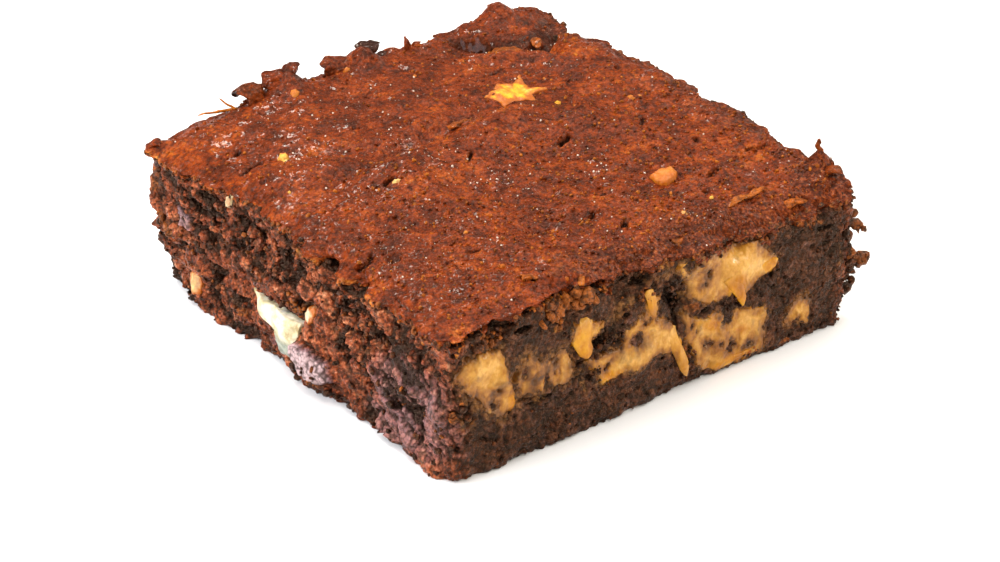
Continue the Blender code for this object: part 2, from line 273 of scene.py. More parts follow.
block = {
    "side": 70.0,
    "widest": 73.0,
    "edgeRadius": 2.2,
    "shoulderHeight": 1.1,
    "shoulderWidth": 2.4,
    # (place along the edge, height of the crust's rim)
    "frontRim": (
        (-35, 21.2), (-15, 21.8), (-8, 20.6), (0, 20.8), (10, 19.8), (20, 19.2), (28, 18.6), (35, 19.8),
    ),
    "leftRim": (
        (-35, 21.2), (-27, 20.4), (-15, 20.6), (-5, 22.0), (5, 22.2), (20, 21.8), (35, 20.6),
    ),
    "backRim": (
        (-35, 20.6), (-27, 22.2), (-14, 23.6), (-5, 23.8), (8, 24.0), (20, 24.6), (28, 25.6), (35, 24.8),
    ),
    "rightRim": (
        (-35, 19.8), (-30, 21.6), (-15, 22.6), (0, 23.8), (16, 24.2), (28, 23.4), (35, 24.8),
    ),
    # (path over the crust, height, half width)
    "swells": (
        (((-30, 11), (-18, 2.5), (-10, 1.5), (2, 2), (8, 1.5)), 0.8, 3.0),
        (((-28, 17), (-17, 8.5), (-6, 7.5)), -0.6, 2.4),
        (((0, 5.5), (11, 3), (16, -3), (20, -9)), 0.6, 2.8),
        (((-26, -14), (-8, -16), (6, -24)), 0.4, 4.0),
        (((17.5, 31), (20.5, 26), (24, 23), (28.5, 23.2), (32, 26)), -2.3, 1.7),
        (((27, 23), (25.5, 18)), -1.3, 1.5),
        (((15, 24), (20, 20.5), (23, 18)), 0.9, 1.6),
    ),
    # (x, y, height, radius)
    "crags": (
        (-12.0, 33.4, 2.7, 2.6), (1.5, 33.4, 2.9, 2.4), (7.2, 34.2, 1.4, 1.8), (26.5, 33.6, 2.4, 2.2),
        (34.0, -28.7, 2.6, 1.3), (-33.8, 33.6, 0.9, 2.0),
    ),
}

walls = {
    "front": {"axis": 1, "sign": -1, "crumbs": 0.5, "waves": 0.3, "torn": 0.25},
    "back": {"axis": 1, "sign": 1, "crumbs": 0.6, "waves": 0.4, "torn": 0.45},
    "left": {"axis": 0, "sign": -1, "crumbs": 1.0, "waves": 0.7, "torn": 1.0},
    "right": {"axis": 0, "sign": 1, "crumbs": 1.1, "waves": 0.7, "torn": 1.0},
}

# (wall, place along it, height, radius, depth); a depth below zero is a lump
wallMarks = (
    ("front", -28.0, 19.6, 2.2, 1.5), ("front", -16.5, 20.4, 2.6, 1.6), ("front", -6.5, 18.2, 2.4, 1.4),
    ("front", 3.6, 13.6, 2.4, 1.3), ("front", 13.5, 18.4, 1.8, 0.8), ("left", -20.2, 13.4, 2.4, 1.5),
    ("left", -9.5, 18.8, 2.6, 1.5), ("left", -17.0, 6.8, 1.8, 1.0), ("left", 6.0, 17.4, 2.6, 1.3),
    ("left", 18.4, 14.6, 2.6, 1.2), ("left", -7.0, 6.4, 3.6, -1.0), ("left", 31.0, 3.0, 3.6, 1.6),
    ("right", -31.0, 13.5, 2.0, -1.4), ("right", -32.0, 7.0, 2.2, -1.5), ("right", -27.0, 10.0, 2.2, 1.4),
    ("right", -4.0, 16.0, 2.8, 1.4), ("right", 14.0, 9.0, 3.0, 1.3), ("right", 25.0, 17.0, 2.4, 1.2),
    ("back", -22.0, 19.4, 2.4, 1.4), ("back", 6.0, 20.6, 2.6, 1.5), ("back", 24.0, 12.0, 2.2, 1.0),
)


# heights along a profile, straight between its stations
def alongProfile(profile, place):
    stations, heights = zip(*profile)
    return np.interp(place, stations, heights)


# the least distance from each point to the straight runs of a bent line
def distanceToPath(x, y, path):
    nearest = np.full(len(x), 1e9)
    for (ax, ay), (bx, by) in itertools.pairwise(path):
        length2 = (bx - ax) ** 2 + (by - ay) ** 2
        share = np.clip(((x - ax) * (bx - ax) + (y - ay) * (by - ay)) / length2, 0, 1)
        nearest = np.minimum(nearest, np.hypot(x - ax - share * (bx - ax), y - ay - share * (by - ay)))
    return nearest


# a Coons patch between the four rim profiles: both pairs blended, less the blend of the corners
def rimSurface(x, y):
    u = x / block["side"] + 0.5
    v = y / block["side"] + 0.5
    front, back = block["frontRim"], block["backRim"]
    sideways = (1 - u) * alongProfile(block["leftRim"], y) + u * alongProfile(block["rightRim"], y)
    lengthways = (1 - v) * alongProfile(front, x) + v * alongProfile(back, x)
    frontCorners = (1 - u) * front[0][1] + u * front[-1][1]
    backCorners = (1 - u) * back[0][1] + u * back[-1][1]
    return sideways + lengthways - (1 - v) * frontCorners - v * backCorners


# the patch, raised by a shoulder inside the rim, with Gaussian swells along paths and Gaussian crags
def crustHeight(x, y):
    inside = block["side"] / 2 - np.maximum(np.abs(x), np.abs(y))
    height = rimSurface(x, y)
    shoulder = np.exp(-((inside.clip(0, None) / block["shoulderWidth"]) ** 2))
    height += block["shoulderHeight"] * (1 - shoulder)
    for path, rise, halfWidth in block["swells"]:
        height += rise * np.exp(-((distanceToPath(x, y, path) / halfWidth) ** 2))
    for cx, cy, rise, radius in block["crags"]:
        height += rise * np.exp(-(((x - cx) ** 2 + (y - cy) ** 2) / radius**2))
    flat = together(x, y, 0)
    return height + 0.35 * softNoise(flat, 7.0, 11) + 0.25 * softNoise(flat, 3.1, 12)


# how far a wall stands out of its plane: long waves, 4 mm crumbs, and Gaussian hollows and lumps
def wallRelief(points, name):
    wall = walls[name]
    seed = 20 + 3 * list(walls).index(name)
    relief = wall["waves"] * softNoise(points, 11.0, seed)
    crumbs = 1 - np.clip(nearestCrumb(points, 4.4, seed + 1)["near"], 0, 1)
    relief += wall["crumbs"] * (1.6 * crumbs - 0.8)
    relief += 0.5 * wall["crumbs"] * softNoise(points, 2.6, seed + 2)
    place = points[:, 1 - wall["axis"]]
    for markWall, at, height, radius, depth in wallMarks:
        if markWall == name:
            relief -= depth * np.exp(-((place - at) ** 2 + (points[:, 2] - height) ** 2) / radius**2)
    return relief


# the square with its upright edges drawn in to a radius
def roundedSquare(x, y):
    reach = block["side"] / 2 - block["edgeRadius"]
    past = np.stack([np.abs(x) - reach, np.abs(y) - reach], axis=1).clip(0, None)
    length = np.linalg.norm(past, axis=1)
    shrink = np.where(length > 0, past.max(axis=1) / np.where(length > 0, length, 1), 1)
    pulled = past * shrink[:, None]
    newX = np.sign(x) * (np.minimum(np.abs(x), reach) + pulled[:, 0])
    newY = np.sign(y) * (np.minimum(np.abs(y), reach) + pulled[:, 1])
    return newX, newY


# points of the unit cage, -0.5 to 0.5 each way, carried to the block's surface, with the way out
# of the walls there and how torn they are
def blockSurface(cage):
    x, y = roundedSquare(cage[:, 0] * block["side"], cage[:, 1] * block["side"])
    solid = together(x, y, (cage[:, 2] + 0.5) * crustHeight(x, y))
    moved = solid.copy()
    outward = np.zeros_like(solid)
    torn = np.zeros(len(solid))
    shares = np.full(len(solid), 1e-9)
    for name, wall in walls.items():
        side = wall["sign"] * cage[:, wall["axis"]] * 2
        share = np.clip((side - 0.9) / 0.1, 0, 1)
        near = share > 0
        relief = np.zeros(len(solid))
        relief[near] = share[near] * wallRelief(solid[near], name)
        moved[:, wall["axis"]] += wall["sign"] * relief
        outward[:, wall["axis"]] += wall["sign"] * share
        torn += share * wall["torn"]
        shares += share
    outward /= np.maximum(np.linalg.norm(outward, axis=1), 1e-9)[:, None]
    return moved, outward, torn / shares


# the points of a wall's main form at the given places along it and heights, and the ways outward from them
def wallPlace(name, along, z):
    wall = walls[name]
    cage = np.empty((len(along), 3))
    cage[:, wall["axis"]] = 0.5 * wall["sign"]
    cage[:, 1 - wall["axis"]] = along / block["side"]
    edge = crustHeight(*(cage[:, :2] * block["side"]).T)
    cage[:, 2] = z / edge - 0.5
    base, outward, _ = blockSurface(cage)
    return base, outward


corners = {
    "left": ((-0.5, 0.5), (-0.5, -0.5)),
    "front": ((-0.5, -0.5), (0.5, -0.5)),
    "right": ((0.5, -0.5), (0.5, 0.5)),
    "back": ((0.5, 0.5), (-0.5, 0.5)),
}


# cage places along some of the block's walls, anticlockwise from above; the last corner is left out
def alongWalls(names, counts):
    runs = []
    for name in names:
        start, end = np.array(corners[name])
        share = np.arange(counts[name]) / counts[name]
        runs.append(start + share[:, None] * (end - start))
    return np.concatenate(runs)


# Where chestnut cream shows

# front, back, half and tilt: the ribbon's centre (x, z) at both faces, half its size and its turn, as in
# the solid model; outline: the patch that shows on the cut front face, as (x, z); smear: how far a film of
# cream reaches past it; mottle: how much crumb is mixed into it
cream = {
    "chestnut_cream_1": {
        "front": (-28.2, 12.8), "back": (-25.6, 10.5), "half": (3.8, 4.2),
        "tilt": -25, "smear": 2.2, "mottle": 0.3,
        "outline": (
            (-33.4, 15.4), (-32.6, 16.8), (-29.5, 17.3), (-26.7, 16.9), (-25.9, 14.8), (-25.6, 12.4),
            (-24.5, 10.6), (-24.4, 8.0), (-26.8, 7.2), (-29.0, 9.0), (-30.2, 11.4), (-32.6, 13.2),
        ),
    },
    "chestnut_cream_2": {
        "front": (-19.4, 12.0), "back": (-17.4, 14.4), "half": (2.7, 2.2),
        "tilt": -8, "smear": 2.2, "mottle": 0.8,
        "outline": (
            (-23.6, 13.4), (-22.2, 14.9), (-20.4, 13.2), (-17.8, 12.8), (-16.4, 13.7), (-15.2, 11.4),
            (-14.6, 9.6), (-16.8, 8.6), (-18.6, 9.4), (-20.6, 9.0), (-23.2, 9.2), (-23.9, 11.4),
        ),
    },
    "chestnut_cream_3": {
        "front": (-12.6, 13.9), "back": (-10.6, 7.6), "half": (1.9, 2.2),
        "tilt": 10, "smear": 0.7, "mottle": 0.1,
        "outline": (
            (-15.4, 13.8), (-15.0, 15.9), (-13.2, 16.5), (-12.0, 15.1), (-10.0, 14.9), (-10.3, 13.2),
            (-11.9, 12.8), (-12.2, 11.3), (-13.9, 11.9),
        ),
    },
    "chestnut_cream_4": {
        "front": (-3.6, 8.0), "back": (0.2, 12.6), "half": (5.9, 2.2),
        "tilt": 20, "smear": 1.0, "mottle": 0.4,
        "outline": (
            (-12.4, 10.3), (-9.4, 10.2), (-6.4, 9.9), (-6.2, 12.6), (-3.6, 13.7), (-2.2, 16.9),
            (-1.0, 15.6), (-1.2, 12.6), (0.6, 11.6), (2.2, 9.8), (3.5, 8.0), (2.8, 6.2), (-0.4, 6.9),
            (-4.4, 6.2), (-8.0, 6.0), (-10.4, 5.6), (-10.9, 8.2),
        ),
    },
    "chestnut_cream_5": {
        "front": (12.6, 14.5), "back": (16.4, 15.4), "half": (6.8, 3.1),
        "tilt": -14, "smear": 0.9, "mottle": 0.3,
        "outline": (
            (2.8, 18.4), (4.6, 19.4), (8.6, 19.0), (13.2, 18.5), (16.8, 17.9), (18.6, 16.2), (21.1, 14.5),
            (20.0, 12.5), (17.2, 12.3), (15.0, 10.9), (12.6, 11.7), (9.6, 11.5), (6.6, 12.4), (4.7, 13.6),
            (4.2, 15.8),
        ),
    },
    "chestnut_cream_6": {
        "front": (12.4, 5.4), "back": (13.4, 6.0), "half": (5.9, 2.9),
        "tilt": 4, "smear": 0.9, "mottle": 0.45,
        "outline": (
            (4.0, 11.2), (6.0, 9.9), (9.6, 9.8), (11.2, 8.0), (14.2, 8.6), (18.2, 7.7), (19.4, 6.2),
            (18.3, 4.4), (18.9, 2.2), (18.4, 0.9), (13.0, 0.7), (10.0, 0.6), (7.6, 1.9), (6.2, 3.4),
            (4.6, 7.0),
        ),
    },
    "chestnut_cream_7": {
        "front": (25.6, 4.7), "back": (26.8, 8.6), "half": (2.3, 2.1),
        "tilt": 20, "smear": 0.9, "mottle": 0.4,
        "outline": (
            (23.2, 2.4), (22.7, 4.2), (23.9, 6.2), (26.3, 6.8), (27.7, 5.6), (26.9, 4.0), (26.4, 2.3),
            (25.0, 2.9),
        ),
    },
}

# crumbs of brownie that stick out of the cream, as (x, z, half width, half height, tilt)
creamIslands = (
    (-27.0, 11.4, 0.7, 0.5, 0), (-28.1, 9.6, 0.6, 0.6, 0), (-19.4, 10.3, 0.45, 1.0, 0),
    (-17.6, 11.6, 0.5, 0.9, 0), (-22.9, 12.4, 0.6, 0.8, 0), (-20.8, 11.0, 0.6, 0.5, 0),
    (-4.2, 10.5, 1.4, 1.1, 30), (-3.0, 12.4, 0.8, 0.6, 0), (-8.8, 8.4, 0.8, 0.5, 30),
    (7.6, 10.6, 1.8, 0.4, -10), (12.2, 10.1, 1.6, 1.1, -10), (11.8, 8.1, 1.2, 0.9, 0),
    (16.4, 9.0, 1.8, 0.5, 0), (10.4, 4.8, 1.0, 0.7, 0), (12.3, 3.4, 1.1, 1.0, 0),
    (15.9, 3.0, 0.6, 0.5, 0), (8.6, 5.3, 0.8, 0.6, 0), (5.4, 9.0, 0.5, 1.0, 20), (24.5, 3.0, 0.6, 0.5, 0),
    (4.6, 18.6, 1.5, 0.8, -20), (6.4, 16.6, 0.7, 0.4, 0), (8.2, 16.0, 0.6, 0.4, 30),
    (6.9, 14.4, 0.4, 0.3, 0), (16.6, 11.4, 1.0, 0.6, 40),
)

# thin smears of cream where no ribbon is
creamSmears = (
    (-31.8, 8.6, 1.4, 0.9, -30), (-13.2, 6.4, 0.6, 1.6, 10), (-7.0, 15.6, 2.4, 1.2, 20),
    (-0.6, 18.4, 2.0, 1.0, 0), (32.6, 10.6, 0.8, 1.6, 0), (-15.6, 20.2, 2.4, 0.8, 6),
    (-11.4, 10.2, 1.6, 0.5, 0),
)

# wet amber cream: the same paste with more syrup in it
amberPools = (
    (-13.4, 13.8, 1.7, 2.4, 0), (13.2, 12.2, 1.9, 2.2, 0), (19.6, 13.6, 1.5, 1.0, 20),
    (8.4, 8.4, 2.4, 1.0, -30), (12.8, 1.3, 5.4, 0.9, 0), (2.9, 7.4, 1.2, 1.6, 0),
    (-2.0, 14.6, 0.8, 2.2, 20), (-9.0, 6.6, 2.0, 0.7, 0), (14.2, 5.6, 1.4, 0.8, -20),
    (-24.9, 9.0, 0.7, 1.6, 0),
)


# the largest over the ellipses of (1 - q) times the shorter half, where q is the elliptic radius:
# about the distance in millimetres to the nearest edge, above zero inside
def lobeField(x, z, lobes):
    best = np.full(len(x), -9.0)
    for cx, cz, halfX, halfZ, tilt in lobes:
        turn = math.radians(tilt)
        along = (x - cx) * math.cos(turn) + (z - cz) * math.sin(turn)
        over = (z - cz) * math.cos(turn) - (x - cx) * math.sin(turn)
        best = np.maximum(best, (1 - np.hypot(along / halfX, over / halfZ)) * min(halfX, halfZ))
    return best


# how far inside an ellipse each point is: 1 at its middle, 0 at its edge and outside
def lobeShare(x, z, lobes):
    best = np.zeros(len(x))
    for cx, cz, halfX, halfZ, tilt in lobes:
        best = np.maximum(best, lobeField(x, z, [(cx, cz, halfX, halfZ, tilt)]) / min(halfX, halfZ))
    return best


# the distance to a closed outline, above zero inside: the least distance to its straight runs, and a
# point is inside where a level line from it crosses them an odd number of times
def outlineField(x, z, outline):
    nearest = np.full(len(x), 1e9)
    inside = np.zeros(len(x), bool)
    for (ax, az), (bx, bz) in zip(outline, outline[1:] + outline[:1]):
        run, rise = bx - ax, bz - az
        share = np.clip(((x - ax) * run + (z - az) * rise) / (run**2 + rise**2), 0, 1)
        nearest = np.minimum(nearest, np.hypot(x - ax - share * run, z - az - share * rise))
        if rise:
            inside ^= ((az > z) != (bz > z)) & (x < ax + (z - az) * run / rise)
    return np.where(inside, nearest, -nearest)


# how far the outline reaches from its centre in each direction, plus a margin
def outlineReach(centre, outline, turn, margin):
    step = np.arange(0, 16, 0.1)
    x = centre[0] + np.outer(np.cos(turn), step)
    z = centre[1] + np.outer(np.sin(turn), step)
    within = outlineField(x.ravel(), z.ravel(), outline).reshape(x.shape) > -margin
    return np.where(within, step, 0).max(axis=1)


# the field of one ribbon at the front or back face, frayed by noise and broken by islands
def creamField(x, z, name, face):
    ribbon = cream[name]
    flat = together(x, z * 0.8, 5.0 if face == "front" else 9.0)
    sizes = ((0.46, 1.5, 71), (0.34, 0.7, 72), (0.24, 0.36, 73))
    fray = sum(weight * softNoise(flat, size, seed) for weight, size, seed in sizes)
    if face == "front":
        field = outlineField(x, z, ribbon["outline"])
        return np.minimum(field, 0.1 - lobeField(x, z, creamIslands)) + fray
    half = [0.95 * size for size in ribbon["half"]]
    return lobeField(x, z, [(*ribbon["back"], *half, ribbon["tilt"] / 2)]) + 2 * fray


# how much cream covers the crumb at each place of the front or back face: thick is where a ribbon shows,
# film is where cream was only smeared over the crumb
def creamCover(x, z, face):
    thick = np.full(len(x), -9.0)
    film = np.full(len(x), -9.0)
    for name, ribbon in cream.items():
        field = creamField(x, z, name, face)
        thick = np.maximum(thick, field)
        film = np.maximum(film, field / ribbon["smear"] + 1)
    if face == "front":
        streak = together(x, z * 0.5, 0)
        smeared = 0.8 * lobeField(x, z, creamSmears) + 0.35 + 0.4 * softNoise(streak, 0.7, 74)
        film = np.maximum(film, smeared)
        island = lobeField(x, z, creamIslands)
        film = np.where(island > 0, film - 1.6 * island, film)
    return thick, np.clip(film, 0, 1)


# Where chestnut shows

# in: the surface that it shows in; at: the middle of its outline; deep and proud: how far it reaches in and
# stands out; ripe: 0 pale to 1.2 orange; facet: the size of its broken faces; melt: how far its edge is
# browned; grey: how grey it is, and how much more at its foot; outline: its edge in that surface's own
# places, (x, y) on the crust and (y, z) on the left wall
chestnuts = {
    "chestnut_side": {
        "in": "left", "at": (1.2, 7.2), "deep": 3.0,
        "proud": 0.55, "ripe": 0.0, "facet": 2.6, "melt": 0.0,
        "grey": (0.0, 1.0),
        "outline": (
            (9.4, 9.4), (3.0, 9.7), (-3.1, 9.5), (-2.5, 7.4), (-1.6, 5.6), (-0.8, 2.6), (3.3, 2.5),
            (3.7, 5.7), (7.4, 6.9),
        ),
    },
    "chestnut_crumb_pale": {
        "in": "left", "at": (-5.6, 12.3), "deep": 1.5,
        "proud": 0.4, "ripe": 0.15, "facet": 0.7, "melt": 0.8,
        "grey": (0.2, 0.0),
        "outline": (
            (-4.0, 11.6), (-5.0, 13.0), (-6.6, 13.7), (-7.2, 12.8), (-6.6, 11.6), (-5.8, 10.8), (-4.8, 10.9),
        ),
    },
    "chestnut_crumb_tan": {
        "in": "left", "at": (23.8, 4.2), "deep": 1.5,
        "proud": 0.2, "ripe": 0.55, "facet": 1.0, "melt": 0.95,
        "grey": (0.9, 0.0),
        "outline": ((25.8, 4.0), (25.0, 5.6), (23.2, 5.8), (22.2, 4.6), (22.4, 2.9), (24.0, 2.4)),
    },
    "chestnut_top_back": {
        "in": "crust", "at": (11.6, 10.8), "deep": 1.6,
        "proud": 0.3, "ripe": 1.0, "facet": 1.6, "melt": 1.0,
        "grey": (0.0, 0.0),
        "outline": (
            (16.6, 15.6), (13.6, 13.4), (11.6, 14.6), (9.2, 13.0), (7.0, 11.6), (8.2, 9.6), (7.4, 7.6),
            (10.6, 8.4), (12.6, 7.0), (13.8, 8.8), (16.8, 8.6), (14.8, 11.0),
        ),
    },
    "chestnut_top_front": {
        "in": "crust", "at": (13.6, -19.7), "deep": 1.0,
        "proud": 0.8, "ripe": 1.2, "facet": 1.2, "melt": 0.6,
        "grey": (0.0, 0.0),
        "outline": (
            (15.6, -18.8), (13.8, -18.0), (11.8, -18.6), (11.2, -20.2), (12.2, -21.6), (14.2, -21.2),
            (15.4, -20.2),
        ),
    },
}


# Crumb: the walls and the underside

crumb = {
    "columns": {"left": 290, "front": 350, "right": 190, "back": 200},
    "rows": 136,
    "overlap": (0.9, 0.35, 0.06),  # how deep the columns past a piece's ends are tucked in
    "grainWay": (0.0, -0.74, -0.67),  # the way that the torn crumb is drawn out
    "grainShare": 0.42,
    "footTuck": 0.6,
    "underCrust": 0.55,
    "shelf": ((0.93, 15.0), (0.88, 13.0)),  # hidden rings inside the top: (share of the outline, height)
    "hiddenMiddle": 12.0,
}

# named holes, darkened by painted shade through lift as well as carved: (wall, place, height, half width,
# half height, depth)
holes = (
    ("front", -27.0, 11.3, 0.55, 0.42, 1.5), ("front", -24.4, 12.3, 0.6, 1.3, 1.2),
    ("front", -34.0, 20.2, 1.6, 0.5, 1.6), ("front", -26.0, 20.2, 1.6, 0.7, 1.6),
    ("front", -29.8, 21.4, 2.2, 0.6, 1.8), ("front", -23.4, 18.8, 1.3, 0.6, 1.4),
    ("front", -22.8, 21.2, 1.0, 0.5, 1.2), ("front", -11.6, 20.8, 2.4, 0.5, 1.6),
    ("front", -7.6, 19.6, 2.4, 0.7, 1.5), ("front", -3.4, 19.0, 1.5, 1.1, 1.4),
    ("front", -19.4, 21.6, 1.8, 0.5, 1.5), ("front", -14.6, 22.2, 1.6, 0.5, 1.5),
    ("front", -30.0, 20.8, 3.0, 0.6, 1.6), ("front", 1.0, 15.8, 1.4, 1.4, 1.3),
    ("front", 2.8, 13.8, 1.5, 1.3, 1.7), ("front", 2.6, 10.4, 0.8, 1.5, 1.0),
    ("front", -10.4, 12.2, 1.3, 0.9, 0.9), ("front", -7.6, 11.6, 1.3, 1.0, 0.9),
    ("front", -6.2, 14.6, 0.8, 0.6, 0.7), ("front", -21.2, 7.5, 2.8, 0.25, 0.7),
    ("front", -32.4, 10.4, 0.9, 0.6, 0.8), ("front", -33.8, 13.4, 0.7, 0.5, 0.8),
    ("front", 11.6, 19.3, 1.9, 0.5, 1.3), ("front", 7.4, 10.7, 1.2, 0.3, 0.9),
    ("front", 29.4, 16.1, 1.5, 0.35, 0.9), ("front", 20.0, 11.8, 0.8, 0.7, 0.8),
    ("front", 5.4, 4.9, 0.8, 0.6, 0.5), ("left", -20.4, 14.3, 1.5, 1.0, 2.4),
    ("left", -16.6, 20.0, 1.0, 0.9, 1.8), ("left", -9.2, 20.6, 1.7, 1.2, 2.4),
    ("left", -13.0, 17.4, 1.0, 0.9, 1.4), ("left", 1.2, 17.2, 1.4, 1.2, 1.8),
    ("left", -4.6, 19.6, 1.2, 0.6, 1.4), ("left", 10.0, 11.0, 1.0, 0.8, 1.2),
    ("left", 18.4, 19.8, 2.4, 0.9, 1.6), ("left", 21.6, 16.2, 2.0, 0.7, 1.5),
    ("left", 14.4, 14.0, 2.0, 0.6, 1.3), ("left", -17.1, 6.4, 1.1, 0.8, 1.6),
    ("left", -12.4, 10.2, 1.6, 0.7, 1.3), ("left", 5.6, 13.2, 1.5, 0.6, 1.2),
    ("left", 24.4, 20.6, 1.4, 0.7, 1.3), ("left", 27.0, 9.6, 1.6, 0.6, 1.2),
    ("left", 12.6, 6.4, 1.4, 0.6, 1.2), ("left", -5.3, 4.7, 4.4, 2.5, -0.9),
    ("left", 30.0, 12.0, 4.0, 3.6, -0.9), ("left", 33.0, 8.4, 2.4, 0.8, 0.8),
    ("right", -12.0, 15.0, 1.6, 1.4, 1.9), ("right", 3.0, 8.0, 1.2, 1.6, 1.6),
    ("right", 20.0, 16.5, 1.6, 1.2, 1.8), ("right", -28.0, 12.0, 1.2, 1.4, 1.6),
    ("right", 28.0, 9.0, 1.4, 1.0, 1.4), ("right", 10.0, 18.6, 1.8, 0.8, 1.5),
    ("back", -12.0, 16.0, 1.2, 0.9, 1.4), ("back", 14.0, 9.0, 1.0, 1.3, 1.3),
    ("back", 26.0, 19.0, 1.6, 0.6, 1.2),
)

# dents and swellings at the upright corners: (x, y, z, reach across, reach up, depth)
dents = (
    (-35.5, 35.5, -1.0, 8.0, 7.5, 2.2), (-35.5, 35.5, 11.4, 4.0, 1.4, 0.9),
    (-35.5, 35.5, 15.6, 5.0, 2.4, -0.6), (35.5, 35.5, 0.0, 6.0, 5.0, 1.2),
    (35.5, -35.5, 6.2, 3.0, 1.0, 0.8), (35.5, -35.5, 0.0, 4.0, 2.0, 0.8),
)

# grooves in the walls: (wall, path, half width, depth)
grooves = (
    ("left", ((-25.6, 18.4), (-28.0, 15.8), (-30.4, 12.6)), 0.5, 0.8),
    ("left", ((-29.0, 18.0), (-31.6, 14.6), (-33.4, 11.0)), 0.4, 0.5),
    ("left", ((7.4, 9.9), (1.0, 9.8), (-3.6, 9.6)), 0.5, 0.8),
    ("left", ((-1.2, 2.2), (-5.4, 2.4), (-9.4, 3.6)), 0.5, 0.7),
    ("front", ((-24.0, 8.6), (-21.4, 8.2), (-19.0, 7.6)), 0.3, 0.5),
    ("front", ((-29.8, 5.2), (-27.6, 4.2)), 0.3, 0.4),
    ("front", ((12.8, 17.4), (16.0, 16.7), (18.6, 16.0)), 0.3, 0.12),
)

# baked orange crumbs on the walls: (wall, place, height, half width, half height, tilt)
rustPatches = {
    "front": (
        (-16.0, 20.4, 5.4, 1.8, 0), (-28.4, 18.8, 1.9, 1.4, -10), (-34.3, 10.3, 1.5, 1.1, -30),
        (-31.4, 8.6, 0.9, 0.9, 0), (-3.0, 16.4, 1.0, 2.0, 15), (0.6, 20.0, 2.0, 1.0, 0),
        (28.6, 17.2, 1.2, 0.5, 0), (22.6, 0.8, 1.4, 0.5, 0), (-34.9, 3.8, 0.6, 1.2, 0),
        (-17.4, 16.6, 1.0, 0.7, 0), (20.4, 13.0, 1.0, 1.4, 0), (5.6, 11.8, 1.8, 0.8, 0),
    ),
    "left": (
        (-3.2, 12.0, 2.4, 1.4, 30), (-5.4, 2.6, 3.8, 0.6, 0), (24.0, 4.4, 2.8, 1.8, 0),
        (30.0, 11.0, 4.0, 1.2, 20), (33.0, 17.0, 2.0, 2.4, 0), (-31.8, 14.6, 0.7, 1.2, 0),
        (-34.0, 11.0, 1.0, 0.8, 0), (-29.0, 1.0, 0.8, 0.8, 0), (-17.0, 11.6, 1.0, 0.6, 0),
        (25.2, 13.6, 1.6, 1.8, 40), (13.0, 5.0, 3.0, 1.0, 20), (-1.0, 19.6, 2.0, 0.6, 20),
    ),
    "right": ((-30.0, 12.0, 2.0, 3.0, 0), (6.0, 14.0, 3.0, 1.6, 20), (24.0, 6.0, 3.0, 1.4, 0)),
    "back": ((-20.0, 18.0, 4.0, 1.2, 0), (10.0, 16.0, 3.0, 1.4, 0), (28.0, 8.0, 2.0, 1.4, 0)),
}

# painted sheen on the walls: a greyish violet colour that stands in for the reflection of cool light on
# smooth crumb: (place, height, half width, half height, tilt, strength)
paintedSheenPatches = {
    "left": (
        (-5.3, 4.7, 4.6, 2.8, 0, 0.9), (-27.0, 8.0, 12.0, 9.0, 0, 0.65), (9.4, 10.6, 1.2, 1.0, 0, 1.2),
        (33.0, 20.0, 3.0, 1.6, 0, 1.2), (-22.0, 3.0, 8.0, 3.0, 0, 0.7), (3.4, 3.2, 3.0, 1.4, 0, 0.6),
    ),
    "right": ((-6.0, 6.0, 3.4, 2.0, 0, 0.9), (18.0, 12.0, 4.0, 3.0, 0, 0.9)),
}


# flat facets of dried crumb: (wall, outline, how far it stands out, strength of its painted sheen)
plates = (
    (
        "left",
        (
            (-1.8, 6.6), (-3.6, 7.4), (-6.4, 7.2), (-9.6, 6.2), (-10.2, 4.0), (-7.6, 2.6), (-3.6, 2.9),
            (-2.0, 4.2),
        ),
        0.9, 1.8,
    ),
    ("left", ((23.6, 14.8), (26.6, 15.4), (26.9, 12.2), (24.4, 11.8)), 0.4, 1.0),
)


# how squarely each point faces out of a wall: the cosine, not below zero
def wallShares(outward, wallName):
    wall = walls[wallName]
    return np.clip(outward[:, wall["axis"]] * wall["sign"], 0, 1)


# how deep the holes and grooves cut into the walls: ovals and bands about a path, with wandering edges
def carvedDepth(base, outward):
    carved = np.zeros(len(base))
    wander = 0.3 * softNoise(base, 1.1, 66)
    for wallName, at, z, halfWide, halfTall, depth in holes:
        along = base[:, 1 - walls[wallName]["axis"]]
        q = np.hypot((along - at) / halfWide, (base[:, 2] - z) / halfTall) + wander
        carved += (wallShares(outward, wallName) > 0.7) * depth * (1 - smoothStep(0.45, 1.15, q))
    for wallName, path, halfWide, depth in grooves:
        along = base[:, 1 - walls[wallName]["axis"]]
        q = distanceToPath(along, base[:, 2], path) / halfWide + wander
        carved += (wallShares(outward, wallName) > 0.7) * depth * (1 - smoothStep(0.3, 1.2, q))
    return carved


# how deep the dents at the upright corners go
def dentDepth(base):
    depths = np.zeros(len(base))
    wander = 0.12 * softNoise(base, 1.1, 66)
    for x, y, z, wide, tall, depth in dents:
        q = np.hypot(np.hypot(base[:, 0] - x, base[:, 1] - y) / wide, (base[:, 2] - z) / tall) + wander
        depths += depth * (1 - smoothStep(0.2, 1.1, q))
    return depths


